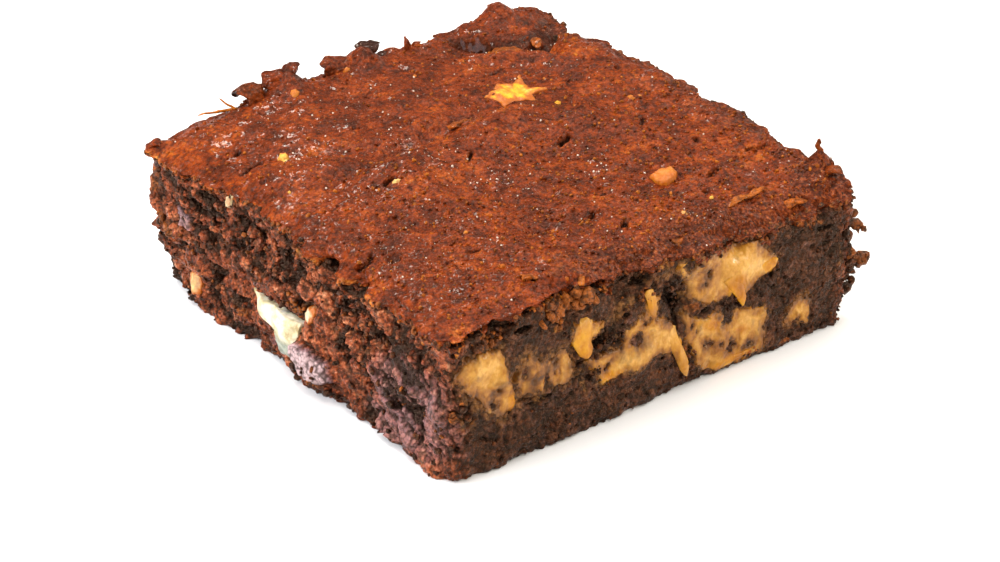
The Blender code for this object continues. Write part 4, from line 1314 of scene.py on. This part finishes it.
# a flake: a thin oval section carried along an arc that starts at the rise and turns by the curl; its
# half width is a rounded taper towards the tip, ragged by noise
def makeFlakes(material):
    columns, rings = 30, 30
    turn = np.arange(columns) / columns * 2 * math.pi
    share = np.linspace(0, 1, rings + 2)
    taper = np.clip(1 - share**2.4, 0, 1) ** 0.5 * np.clip(share * 14, 0, 1) ** 0.5
    upright = np.array([0.0, 0.0, 1.0])
    tubes = []
    for number, (start, heading, rise, curl, (length, width, thickness), _) in enumerate(flakes):
        angle = np.radians(rise + curl * share)
        stride = length / (rings + 1)
        forward = np.concatenate([[0], np.cumsum(np.cos(angle[:-1]) * stride)])
        upward = np.concatenate([[0], np.cumsum(np.sin(angle[:-1]) * stride)])
        way = math.radians(heading)
        ahead = np.array([math.cos(way), math.sin(way), 0.0])
        aside = np.array([-math.sin(way), math.cos(way), 0.0])
        ground = crustHeight(*np.array(start)[:2, None])
        centre = np.array(start) + forward[:, None] * ahead + (upward + ground)[:, None] * upright
        normal = np.cos(angle)[:, None] * upright - np.sin(angle)[:, None] * ahead
        ripple = together(share * length, number * 7.0, 0)
        halfWide = width / 2 * taper * (1 + 0.3 * softNoise(ripple, 1.3, 160))
        halfThick = thickness / 2 * taper * (1 + 0.25 * softNoise(ripple, 0.9, 161))
        wide = np.sign(np.cos(turn)) * np.abs(np.cos(turn)) ** 0.7
        thick = np.sign(np.sin(turn)) * np.abs(np.sin(turn)) ** 0.9
        ring = centre[:, None, :] + (halfWide[:, None] * wide)[:, :, None] * aside
        ring = ring + (halfThick[:, None] * thick)[:, :, None] * normal[:, None, :]
        flat = ring.reshape(-1, 3)
        amount = min(0.5, thickness, width / 2)
        for size, share2 in ((1.3, 0.6), (0.6, 0.3)):
            bumps = np.stack([softNoise(flat, size, 162 + k) for k in range(3)], axis=1)
            flat = flat + bumps * amount * share2
        tubes.append(flat.reshape(ring.shape))
    points, faces = joinTubes(tubes)
    values = {"tone": np.repeat([flake[-1] for flake in flakes], len(points) // len(flakes))}
    makePiece("crust_flakes", points, faces, material, (), values)


# Small scattered things

# many small closed lumps at once: a ball of rings and columns for each centre, scaled on three axes, turned
# by a random rotation and roughened by noise; the faces of one ball are repeated with a step
def scatterLumps(centres, sizes, rings, columns, roughness, draw):
    turn = np.arange(columns) / columns * 2 * math.pi
    rise = np.linspace(-math.pi / 2, math.pi / 2, rings + 2)[1:-1]
    wide = np.cos(rise)[:, None]
    ball = together(wide * np.cos(turn), wide * np.sin(turn), np.sin(rise)[:, None]).reshape(-1, 3)
    ball = np.concatenate([[[0, 0, -1]], ball, [[0, 0, 1]]])
    count = len(centres)
    quarter = draw.normal(size=(count, 4))
    quarter /= np.linalg.norm(quarter, axis=1)[:, None]
    w, x, y, z = quarter.T
    spin = [
        together(1 - 2 * (y * y + z * z), 2 * (x * y - z * w), 2 * (x * z + y * w)),
        together(2 * (x * y + z * w), 1 - 2 * (x * x + z * z), 2 * (y * z - x * w)),
        together(2 * (x * z - y * w), 2 * (y * z + x * w), 1 - 2 * (x * x + y * y)),
    ]
    spin = np.stack(spin, axis=1)
    wobble = 1 + roughness * draw.normal(size=(count, len(ball)))
    local = ball[None] * wobble[:, :, None] * sizes[:, None, :]
    points = np.einsum("nij,nmj->nmi", spin, local) + centres[:, None, :]
    steps = (np.arange(count) * len(ball))[:, None, None]
    faces = [(group[None] + steps).reshape(-1, group.shape[1]) for group in tubeFaces(rings, columns)]
    return points.reshape(-1, 3), faces, len(ball)


looseCrumbs = {
    "count": 1100,
    "rim": 900,
    "small": 0.16,
    "large": 0.62,
    "widest": 34.2,
    "seed": 5,
    # larger crumbs that stand out by the right-hand corner: (x, y, z, size, tone)
    "lumps": (
        (35.4, -33.2, 14.6, 2.0, 0.55), (36.3, -34.1, 14.0, 1.6, 0.65), (37.0, -34.9, 13.4, 1.0, 0.6),
        (35.8, -33.8, 15.8, 1.1, 0.6), (35.4, -33.2, 9.2, 2.3, 0.5), (36.3, -33.9, 8.7, 2.0, 0.6),
        (37.1, -34.7, 8.7, 1.5, 0.65), (37.7, -35.4, 9.3, 0.9, 0.75), (36.9, -34.4, 7.6, 1.1, 0.6),
        (35.4, -33.4, 6.0, 1.8, 0.45), (36.0, -34.2, 5.4, 1.1, 0.5), (35.5, -33.6, 4.0, 1.5, 0.4),
        (35.4, -33.0, 11.8, 1.6, 0.5), (34.6, -32.6, 2.8, 1.5, 0.4), (35.8, -30.6, 11.0, 1.6, 0.5),
        (35.8, -29.0, 6.0, 1.6, 0.4), (35.8, -28.0, 15.0, 1.5, 0.6), (35.8, -26.0, 3.0, 1.5, 0.4),
        (35.8, -22.0, 12.0, 1.4, 0.5), (35.8, -30.6, 17.8, 1.3, 0.7),
    ),
    # (wall, middle along it, height, half lengths, how many, size, tone)
    "clusters": (
        ("front", -9.0, 11.8, 2.5, 1.4, 22, 0.75, 0.15), ("front", -11.0, 8.0, 1.5, 1.5, 12, 0.6, 0.15),
        ("front", 4.7, 4.4, 1.4, 1.8, 18, 0.7, 0.35), ("front", 2.4, 14.4, 1.8, 2.6, 16, 0.8, 0.1),
        ("front", -15.8, 19.4, 4.4, 1.2, 60, 1.7, 0.9), ("front", -4.6, 16.2, 3.0, 1.6, 14, 0.6, 0.5),
        ("front", -28.0, 18.6, 3.4, 1.0, 24, 1.2, 0.6), ("front", -33.9, 10.4, 1.2, 1.3, 9, 1.2, 0.7),
        ("front", 12.0, 10.2, 2.0, 0.8, 10, 0.6, 0.1), ("front", 16.0, 1.4, 3.6, 0.6, 12, 0.5, 0.8),
        ("front", 8.0, 19.8, 5.0, 0.6, 22, 0.6, 0.6), ("front", 24.0, 19.6, 9.0, 0.8, 30, 0.6, 0.5),
        ("front", -14.0, 4.0, 16.0, 3.0, 40, 0.4, 0.4), ("front", 30.0, 10.0, 4.0, 8.0, 24, 0.5, 0.3),
        ("left", -3.2, 11.6, 2.4, 1.2, 30, 0.8, 0.8), ("left", -5.4, 1.9, 3.4, 0.5, 26, 0.7, 0.8),
        ("left", -33.0, 8.0, 2.0, 3.0, 9, 0.7, 0.55), ("left", 8.0, 16.0, 12.0, 4.0, 40, 0.8, 0.5),
        ("left", -16.0, 14.0, 8.0, 5.0, 40, 0.7, 0.45), ("left", 26.0, 8.0, 7.0, 7.0, 40, 0.8, 0.5),
        ("left", 3.4, 6.0, 3.4, 0.8, 12, 0.6, 0.3), ("left", -2.2, 6.0, 0.6, 2.6, 10, 0.7, 0.5),
        ("right", -33.4, 13.6, 1.4, 2.4, 30, 1.5, 0.3), ("right", -33.6, 8.4, 1.2, 2.0, 30, 1.6, 0.3),
        ("right", -32.0, 4.0, 2.4, 2.4, 20, 0.8, 0.3), ("right", -30.0, 16.0, 3.0, 3.0, 20, 0.8, 0.4),
    ),
}


# crumbs that cling to the torn walls, the foot and the rim: more and larger where the wall is torn, none
# where cream or chestnut shows
def makeLooseCrumbs(material, wallPoints, outward, torn, bare, rimPoints, rimOutward):
    draw = np.random.default_rng(looseCrumbs["seed"])
    height = wallPoints[:, 2]
    chance = (0.1 + torn) * (1 + 1.6 * (height < 1.6) + 0.8 * (height > 17.0)) * (height > 0.3) * bare
    picked = draw.choice(len(wallPoints), looseCrumbs["count"], replace=False, p=chance / chance.sum())
    span = looseCrumbs["large"] - looseCrumbs["small"]
    size = looseCrumbs["small"] + span * draw.random(looseCrumbs["count"]) ** 3 * (0.3 + 0.7 * torn[picked])
    sizes, tones = [size], [0.6 * draw.random(len(size)) ** 1.5]
    centres = [wallPoints[picked] + outward[picked] * (0.1 * size)[:, None]]
    # the places of all clusters are drawn before the sizes of any
    groups = []
    for name, middle, z, wide, tall, count, size, tone in looseCrumbs["clusters"]:
        along = middle + wide * draw.normal(size=count) * 0.5
        groups.append((name, along, z + tall * draw.normal(size=count) * 0.5, size, tone))
    for name, along, z, size, tone in groups:
        spot, away = wallPlace(name, along.clip(-looseCrumbs["widest"], looseCrumbs["widest"]), z)
        each = 0.5 * size * (0.35 + 0.65 * draw.random(len(along)))
        for spec in chestnuts.values():
            if name == spec["in"]:
                each[outlineField(spot[:, 1], z, spec["outline"]) > -0.2] *= 0.2
        centres.append(spot + away * (0.25 * each - dentDepth(spot))[:, None])
        sizes.append(each)
        tones.append(np.clip(tone + 0.25 * draw.normal(size=len(along)), 0, 1))
    picked = draw.choice(len(rimPoints), looseCrumbs["rim"], replace=False)
    lumps = np.array(looseCrumbs["lumps"])
    centres = np.concatenate([*centres, rimPoints[picked] + 0.05 * rimOutward[picked], lumps[:, :3]])
    size = np.concatenate([*sizes, 0.14 + 0.26 * draw.random(len(picked)) ** 2, 0.6 * lumps[:, 3]])
    tones += [0.3 + 0.6 * draw.random(len(picked)), lumps[:, 4]]
    sizes = size[:, None] * (0.6 + 0.8 * draw.random((len(size), 3)))
    centres[:, 2] = np.maximum(centres[:, 2], sizes.max(axis=1) * 0.9)
    points, faces, each = scatterLumps(centres, sizes, 5, 7, 0.16, draw)
    limit = block["widest"] / 2 + 1.9
    points[:, :2] = points[:, :2].clip(-limit, limit)
    points[:, 2] = points[:, 2].clip(0, None)
    values = {"tone": np.repeat(np.concatenate(tones), each)}
    makePiece("loose_crumbs", points, faces, material, (), values)


# clusters of sugar on the crust: (x, y, spread, count); the pale grains are partly sugar and partly painted
# highlights that stand in for the crust's tiny glints
sugar = {
    "clusters": (
        (-9.8, 7.9, 1.4, 26), (-11.1, -0.9, 1.6, 26), (-7.8, -7.4, 2.4, 24), (-4.9, -7.0, 1.8, 18),
        (6.7, -14.2, 1.8, 16), (7.6, -7.8, 2.2, 14), (-28.7, -15.5, 1.4, 22), (9.8, -28.9, 2.0, 20),
        (-24.0, 13.4, 1.6, 14), (20.0, 14.0, 4.0, 12), (-30.0, -2.0, 2.0, 10), (2.0, -26.0, 5.0, 20),
    ),
    "strayGlintGrains": 460,
    "seed": 9,
}


# sugar grains: tiny faceted pale lumps half sunk in the crust's points; the scattered ones are partly
# painted highlights for the crust's glints
def makeSugar(material, top, normal):
    draw = np.random.default_rng(sugar["seed"])
    spots = [draw.normal((x, y), spread, (count, 2)) for x, y, spread, count in sugar["clusters"]]
    spots.append(draw.uniform(-33, 33, (sugar["strayGlintGrains"], 2)))
    spots = np.concatenate(spots)
    n = crust["across"]
    column = np.clip(np.round((spots[:, 0] / block["side"] + 0.5) * (n - 1)), 2, n - 3).astype(int)
    row = np.clip(np.round((spots[:, 1] / block["side"] + 0.5) * (n - 1)), 2, n - 3).astype(int)
    picked = row * n + column
    size = 0.05 + 0.11 * draw.random(len(picked)) ** 3
    centres = top[picked] + normal[picked] * (0.5 * size)[:, None]
    sizes = size[:, None] * (0.7 + 0.6 * draw.random((len(size), 3)))
    points, faces, _ = scatterLumps(centres, sizes, 2, 5, 0.1, draw)
    makePiece("sugar_and_glint_grains", points, faces, material)


# grains of crumb baked on to the crust: half lengths in mm, more of them towards the front
crustGrains = {"count": 4200, "small": 0.09, "large": 0.3, "seed": 17}


# tiny lumps half sunk in the crust's points, each with its own tone
def makeCrustGrains(material, top, normal, reach):
    draw = np.random.default_rng(crustGrains["seed"])
    chance = (0.35 + smoothStep(20.0, -20.0, top[:, 1])) * (reach < 0.97) * (normal[:, 2] > 0.8)
    picked = draw.choice(len(top), crustGrains["count"], replace=False, p=chance / chance.sum())
    span = crustGrains["large"] - crustGrains["small"]
    size = crustGrains["small"] + span * draw.random(len(picked)) ** 3
    centres = top[picked] + normal[picked] * (0.15 * size)[:, None]
    sizes = size[:, None] * (0.6 + 0.8 * draw.random((len(size), 3)))
    points, faces, each = scatterLumps(centres, sizes, 3, 6, 0.14, draw)
    tone = np.clip(0.15 + 0.4 * draw.normal(size=len(size)), -0.6, 0.9)
    makePiece("crust_grains", points, faces, material, (), {"tone": np.repeat(tone, each)})


# chestnut bits too small to be nodes: (x, y, size, ripeness) on the crust, (wall, place, height, size,
# ripeness) on the walls
chestnutBits = {
    "top": (
        (-24.9, 15.2, 0.7, 0.9), (-25.4, 14.2, 0.4, 0.8), (-18.7, -2.2, 0.6, 0.7),
        (-13.4, 29.4, 0.7, 1.2), (24.6, 0.2, 0.6, 1.2), (26.0, -0.2, 0.4, 1.2), (-30.2, 6.0, 0.25, 0.9),
        (14.6, 4.4, 0.4, 1.0), (4.0, 24.0, 0.3, 1.2), (-25.6, 2.0, 0.25, 1.1), (30.0, 14.0, 0.3, 0.9),
        (-6.4, -29.6, 0.3, 1.2), (9.0, -28.6, 0.45, 0.7), (15.6, -26.8, 0.3, 0.9), (-2.0, 32.6, 0.5, 1.2),
        (-18.4, -17.0, 0.25, 1.2),
    ),
    "walls": (
        ("left", 13.2, 21.2, 0.7, 0.2), ("left", -33.6, 9.8, 0.25, 0.8), ("front", -16.2, 20.2, 0.6, 1.1),
        ("front", -10.6, 20.0, 0.25, 1.2), ("right", 5.0, 12.0, 0.8, 0.6),
        ("right", -20.0, 6.0, 0.7, 0.8), ("back", 4.0, 14.0, 0.7, 0.8), ("back", -26.0, 6.0, 0.6, 0.7),
    ),
    "seed": 13,
}


# lumps of chestnut half sunk in the crust and in the walls
def makeChestnutBits(material):
    draw = np.random.default_rng(chestnutBits["seed"])
    spots = np.array([spec[:2] for spec in chestnutBits["top"]])
    size = [spec[2] for spec in chestnutBits["top"]]
    ripe = [spec[3] for spec in chestnutBits["top"]]
    ground = crustHeight(spots[:, 0], spots[:, 1])
    centres = [together(spots[:, 0], spots[:, 1], ground - 0.35 * np.array(size))]
    for name, place, z, bit, ripeness in chestnutBits["walls"]:
        spot, away = wallPlace(name, np.array([place]), np.array([z]))
        centres.append(spot - 0.1 * bit * away)
        size.append(bit)
        ripe.append(ripeness)
    size = np.array(size)
    sizes = size[:, None] * (0.75 + 0.5 * draw.random((len(size), 3)))
    points, faces, each = scatterLumps(np.concatenate(centres), sizes, 7, 10, 0.16, draw)
    shade = np.repeat(draw.random(len(size)), each)
    values = {"shade": 0.3 * shade, "ripe": np.repeat(ripe, each), "melt": np.full(len(shade), 0.3)}
    makePiece("chestnut_bits", points, faces, material, (), values)


# The finishes

# moist chocolate crumb: dense and fudgy, small grains with painted shade, near black, in the gaps between
# them, and tiny wet glints
def moistCrumbMaterial(name, loose):
    settings = {"Specular IOR Level": 0.3, "Specular Tint": hexColour("ffd2a8")}
    noises = [("mottle", 1.6, 5.0, 0.65, 1), ("grit", 0.4, 3.0, 0.6, 1)]
    attributes = [("tone", "", 0)]
    if not loose:
        noises.append(("streak", 1.1, 5.0, 0.7, 0.5))
        attributes += [("torn", "", 0), ("lift", "", 0), ("rust", "mottle", 1.6), ("paintedSheen", "mottle", 1.6)]
        attributes.append(("film", "streak", 1.8))
    material, tree, shader, read = startMaterial(name, settings, noises, attributes)
    grains = addNode(tree, "TexVoronoi", {"Vector": read["where"], "Scale": 1000 / 0.62}, "Distance")
    mixed = -0.45
    for key, weight in (("grit", 0.6), ("mottle", 0.75), ("tone", 0.4)):
        mixed = addNode(tree, "Math", {0: read[key], 1: weight, 2: mixed}, operation="MULTIPLY_ADD")
    if loose:
        stops = ((0.1, "160a06"), (0.35, "3a1e13"), (0.6, "6e3a22"), (0.9, "b06a38"))
        layers = [(read["tone"], 0.45, 0.95, 0.75, "a4581f")]
    else:
        stops = ((0.15, "130703"), (0.38, "311a0f"), (0.58, "4e2d1b"), (0.85, "805233"))
        tornStops = ((0.15, "220b05"), (0.36, "6c2c16"), (0.54, "a85430"), (0.8, "de9868"))
        rustStops = ((0.2, "4a1c0c"), (0.48, "96501f"), (0.75, "c98a3e"))
        tan = addNode(
            tree, "ValToRGB", {0: read["streak"]}, stops=((0.35, "4c2d16"), (0.5, "754a26"), (0.7, "9c6c3c"))
        )
        layers = [
            # the torn faces are redder and paler than the cut one
            (read["torn"], 0.2, 0.8, 0.95, addNode(tree, "ValToRGB", {0: mixed}, stops=tornStops)),
            # oven-browned crumb
            (read["rust"], 1.3, 1.75, 0.9, addNode(tree, "ValToRGB", {0: mixed}, stops=rustStops)),
            # painted sheen: greyish violet where smooth dried grains would reflect cool light
            (read["paintedSheen"], 0.9, 2.4, 0.95, "a08489"),
            (read["paintedSheen"], 1.9, 2.4, 0.7, "c6a8a4"),
            # painted highlight: lighter on the grains that stand out; painted shade: nearly black in the
            # gaps and holes
            (read["lift"], 0.12, 0.7, 0.45, "a2633f"),
            (read["lift"], -0.1, -0.62, 0.92, "0e0604"),
            # cream smeared over the cut face by the knife
            (read["film"], 1.25, 1.75, 0.8, tan),
        ]
    # painted shade, near black, in the gaps between the grains
    layers.append((grains, 0.42, 0.75, 0.75, "0c0503"))
    colour = layColours(tree, addNode(tree, "ValToRGB", {0: mixed}, stops=stops), layers)
    height = addNode(tree, "Math", {0: grains, 1: -1.1, 2: read["grit"]}, operation="MULTIPLY_ADD")
    linkShader(tree, shader, colour, (read["grit"], 0.45, 0.62, 0.5, 0.14), (height, 0.3))
    return material


# baked cocoa crust: dried in the oven to a thin skin of fine grains, with painted shade between them and in
# its pores, and with a few warm glints
def bakedCrustMaterial(name, flaky):
    settings = {
        "Specular IOR Level": 0.14, "Specular Tint": hexColour("ffc890"), "Coat Weight": 0.11,
        "Coat Roughness": 0.13,
    }
    noises = [("broad", 8.0, 3.0, 0.6, 1), ("mottle", 2.0, 3.0, 0.6, 1), ("grit", 0.4, 2.0, 0.6, 1)]
    attributes = [("hollow", "", 0), ("edge", "mottle", 1.1), ("rubble", "mottle", 1.8)]
    attributes.append(("frostAndHighlight", "grit", 2.2))
    if flaky:
        attributes = [("tone", "", 0)]
    material, tree, shader, read = startMaterial(name, settings, noises, attributes)
    grains, pores = (
        addNode(tree, "TexVoronoi", {"Vector": read["where"], "Scale": 1000 / size}, "Distance")
        for size in (0.62, 1.5)
    )
    # pores of no fixed size, darkened with painted shade
    pores = addNode(tree, "Math", {0: read["mottle"], 1: 0.5, 2: pores}, operation="MULTIPLY_ADD")
    mixed = -0.14
    for key, weight in (("grit", 0.4), ("mottle", 0.45), ("broad", 0.45)):
        mixed = addNode(tree, "Math", {0: read[key], 1: weight, 2: mixed}, operation="MULTIPLY_ADD")
    if flaky:
        layers = [(read["tone"], 0.0, -1.0, 0.9, "24100c"), (read["tone"], 0.0, 1.0, 1.0, "b5651f")]
    else:
        brokenStops = ((0.25, "3a1006"), (0.42, "7c2e0c"), (0.56, "aa5018"), (0.76, "d08a3a"))
        lumpyStops = ((0.3, "240c06"), (0.45, "4c1d0c"), (0.58, "7a3618"), (0.75, "aa6236"))
        layers = [
            # painted shade in the pits, cracks, back fold and gaps under the rim
            (read["hollow"], 0.08, 0.7, 0.9, "1a0906"),
            # the skin's broken edge shows the crumb's colours
            (read["edge"], 1.15, 1.4, 0.95, addNode(tree, "ValToRGB", {0: mixed}, stops=brokenStops)),
            (read["rubble"], 1.5, 1.9, 0.7, addNode(tree, "ValToRGB", {0: read["grit"]}, stops=lumpyStops)),
            # pale patches: partly sugar dried to a frost, partly painted highlights
            (read["frostAndHighlight"], 1.75, 2.3, 0.6, "c3a195"),
        ]
    # painted shade between the grains and in the pores
    layers += [(grains, 0.45, 0.8, 0.6, "1e0703"), (pores, 0.37, 0.31, 0.75, "1e0703")]
    stops = ((0.25, "2c0a03"), (0.42, "541c05"), (0.54, "782c0a"), (0.66, "984210"), (0.82, "bc6c28"))
    colour = layColours(tree, addNode(tree, "ValToRGB", {0: mixed}, stops=stops), layers)
    height = addNode(tree, "Math", {0: grains, 1: -1.0, 2: read["grit"]}, operation="MULTIPLY_ADD")
    linkShader(tree, shader, colour, (read["grit"], 0.46, 0.62, 0.6, 0.13), (height, 0.3))
    return material


# chestnut cream: a sweet paste, smooth and a little translucent, amber and shiny where it is wet
def chestnutCreamMaterial(name, wet):
    settings = {
        "Specular IOR Level": 0.2, "Specular Tint": hexColour("ffe2b8"), "Coat Weight": 0.16,
        "Coat Roughness": 0.05 if wet else 0.08, "Subsurface Weight": 0.0 if wet else 0.15,
        "Subsurface Scale": 0.8 * mm, "Subsurface Radius": (1.0, 0.5, 0.2),
    }
    noises = [("streak", 2.4, 4.0, 0.6, 0.7), ("ripple", 1.2, 2.0, 0.5, 0.7)]
    noises += [("grit", 0.8, 4.0, 0.65, 1), ("cloud", 4.5, 3.0, 0.6, 1)]
    attributes = [("depth", "", 0), ("mottle", "", 0), ("amber", "streak", 1.0)]
    material, tree, shader, read = startMaterial(name, settings, noises, attributes)
    mixed = addNode(tree, "MapRange", {0: read["depth"], 1: -0.1, 2: 1.5, 3: -0.66, 4: -0.33})
    # flecks of crumb: more of them near the patch's edge and where the paste is mottled
    flecks = addNode(tree, "MapRange", {0: read["depth"], 1: -0.2, 2: 0.5, 3: 0.12, 4: 0.0})
    for key, weight in (("grit", 0.4), ("cloud", 0.9), ("streak", 0.6)):
        mixed = addNode(tree, "Math", {0: read[key], 1: weight, 2: mixed}, operation="MULTIPLY_ADD")
    for key, weight in (("mottle", 0.12), ("streak", 1.0)):
        flecks = addNode(tree, "Math", {0: read[key], 1: weight, 2: flecks}, operation="MULTIPLY_ADD")
    stops = ((0.2, "4f2c0d"), (0.34, "824e18"), (0.46, "a06a22"), (0.6, "b98436"), (0.75, "d2a052"))
    syrupStops = ((0.3, "8c4c00"), (0.5, "b27008"), (0.7, "d09820"))
    syrup = addNode(tree, "ValToRGB", {0: read["streak"]}, stops=syrupStops)
    layers = [(read["amber"], 0.75, 1.4, 0.95, syrup), (flecks, 0.6, 0.78, 0.0 if wet else 0.85, "5a371c")]
    colour = layColours(tree, addNode(tree, "ValToRGB", {0: mixed}, stops=stops), layers)
    bump = (read["ripple"], 0.4 if wet else 0.5)
    linkShader(tree, shader, colour, (read["amber"], 0.4, 1.3, 0.26, 0.08), bump)
    return material


# boiled chestnut: mealy flesh, pale where it is cut, greenish grey where its shade value is high (the side
# piece towards its foot), amber where the oven caught it
def boiledChestnutMaterial(name):
    settings = {
        "Specular IOR Level": 0.3, "Subsurface Weight": 0.15, "Subsurface Scale": 1.0 * mm,
        "Subsurface Radius": (1.0, 0.6, 0.3),
    }
    noises = [("mottle", 1.8, 4.0, 0.6, 1), ("grit", 0.5, 3.0, 0.6, 1)]
    attributes = [("shade", "", 0), ("ripe", "", 0), ("melt", "grit", 1.4)]
    material, tree, shader, read = startMaterial(name, settings, noises, attributes)
    paleStops = ((0.3, "9a8658"), (0.45, "c4b68e"), (0.65, "e2d9c0"))
    greyStops = ((0.3, "62675a"), (0.5, "8a8f7e"), (0.7, "b0b39e"))
    amberStops = ((0.3, "a4560a"), (0.45, "ca8610"), (0.6, "deaa22"))
    pale, grey, amber = (
        addNode(tree, "ValToRGB", {0: read["mottle"]}, stops=stops)
        for stops in (paleStops, greyStops, amberStops)
    )
    layers = [
        (read["shade"], 0.0, 1.0, 1.0, grey),
        (read["ripe"], 0.0, 1.0, 1.0, amber),
        (read["ripe"], 1.0, 1.2, 0.8, "a8500f"),
        (read["melt"], 0.85, 1.5, 1.0, "a4540c"),
    ]
    colour = layColours(tree, pale, layers)
    linkShader(tree, shader, colour, (read["grit"], 0.3, 0.7, 0.35, 0.6), (read["grit"], 0.12))
    return material


# sugar: pale clear crystals, so each grain catches the light; their pale colour also stands in for glints,
# partly a painted highlight
def sugarMaterial(name):
    settings = {
        "Base Color": hexColour("f0dcc6"), "Roughness": 0.12, "IOR": 1.54, "Transmission Weight": 0.3,
    }
    return startMaterial(name, settings)[0]


# glazed white stoneware underneath
def floorMaterial(name):
    settings = {"Base Color": hexColour("f6f5f2"), "Roughness": 0.35, "Specular IOR Level": 0.3}
    return startMaterial(name, settings)[0]


# Stage, light and camera

studio = {
    "floorHalf": 3000.0,
    "world": ("fffaf4", 0.13),
    # (place in mm, target in mm, size in mm, watts, colour)
    "lights": (
        ((0, 60, 800), (0, 0, 10), (1200, 1200), 10.5, "ffffff"),
        ((-430, 120, 230), (0, 0, 10), (380, 260), 3.7, "f4f6ff"),
        ((400, 60, 280), (0, 0, 10), (260, 260), 1.0, "fff2e0"),
        ((300, -440, 130), (0, 0, 10), (300, 200), 0.8, "fff4e6"),
        ((260, -400, 110), (0, 0, 10), (46, 46), 0.5, "fffaf2"),
        ((120, 420, 400), (0, 0, 10), (70, 70), 1.3, "fff6ea"),
        ((-160, -330, 430), (0, 0, 10), (50, 50), 0.9, "fffaf2"),
    ),
}

camera = {
    "place": (-192.504, -243.714, 172.322),
    "forward": (0.54522, 0.68788, -0.47912),
    "lens": 90.0,
    "sensor": 36.0,
}


# a floor just under the brownie, an even pale world and the softboxes
def makeStage():
    half, low = studio["floorHalf"] * mm, -0.1 * mm
    mesh = bpy.data.meshes.new("floor")
    floorCorners = [(-half, -half, low), (half, -half, low), (half, half, low), (-half, half, low)]
    mesh.from_pydata(floorCorners, [], [(0, 1, 2, 3)])
    mesh.materials.append(floorMaterial("glazed white stoneware"))
    floor = bpy.data.objects.new("floor", mesh)
    bpy.context.scene.collection.objects.link(floor)
    world = bpy.data.worlds.new("soft white room")
    world.use_nodes = True
    code, strength = studio["world"]
    background = world.node_tree.nodes["Background"]
    background.inputs["Color"].default_value = hexColour(code)
    background.inputs["Strength"].default_value = strength
    bpy.context.scene.world = world
    for number, (place, target, size, watts, code) in enumerate(studio["lights"]):
        lamp = bpy.data.lights.new(f"softbox {number + 1}", "AREA")
        lamp.shape = "RECTANGLE"
        lamp.size, lamp.size_y = size[0] * mm, size[1] * mm
        lamp.energy = watts
        lamp.color = hexColour(code)[:3]
        lampObject = bpy.data.objects.new(lamp.name, lamp)
        lampObject.location = Vector(place) * mm
        lampObject.rotation_euler = (Vector(target) - Vector(place)).to_track_quat("-Z", "Y").to_euler()
        bpy.context.scene.collection.objects.link(lampObject)


# the camera stands and looks as the photo's did
def makeCamera():
    lens = bpy.data.cameras.new("camera")
    lens.lens = camera["lens"]
    lens.sensor_width = camera["sensor"]
    lens.clip_start, lens.clip_end = 0.01, 20.0
    viewer = bpy.data.objects.new("camera", lens)
    viewer.location = Vector(camera["place"]) * mm
    viewer.rotation_euler = Vector(camera["forward"]).to_track_quat("-Z", "Y").to_euler()
    bpy.context.scene.collection.objects.link(viewer)
    bpy.context.scene.camera = viewer
    bpy.context.scene.view_settings.view_transform = "Standard"


# Making it

makeCamera()
makeStage()
print("stage, light and camera are set")

moistCrumb = moistCrumbMaterial("moist chocolate crumb", False)
halves = [makeCrumb("brownie_crumb_front", ["left", "front"], moistCrumb)]
halves.append(makeCrumb("brownie_crumb_back", ["right", "back"], moistCrumb))
wallPoints, wallOutward, wallTorn, wallBare = (np.concatenate(parts) for parts in zip(*halves))
print("crumb is torn")
bakedCrust = bakedCrustMaterial("baked cocoa crust", False)
crustTop, crustNormal, crustReach, rimPoints, rimOutward = makeCrust(bakedCrust)
print("crust is baked")

creamPaste = chestnutCreamMaterial("chestnut cream", False)
for ribbonName in cream:
    makeRibbon(ribbonName, creamPaste)
makeDrips(chestnutCreamMaterial("wet chestnut cream", True))
print("cream is in")

chestnutFlesh = boiledChestnutMaterial("boiled chestnut")
for seedNumber, chestnutName in enumerate(chestnuts):
    makeChestnut(chestnutName, seedNumber, chestnutFlesh)
makeChestnutBits(chestnutFlesh)
print("chestnuts are in")

flakyCrust = bakedCrustMaterial("loose crust flakes and grains", True)
makeFlakes(flakyCrust)
makeCrustGrains(flakyCrust, crustTop, crustNormal, crustReach)
looseCrumb = moistCrumbMaterial("loose crumbs", True)
makeLooseCrumbs(looseCrumb, wallPoints, wallOutward, wallTorn, wallBare, rimPoints, rimOutward)
makeSugar(sugarMaterial("sugar"), crustTop, crustNormal)
print("flakes, crumbs and sugar are on")
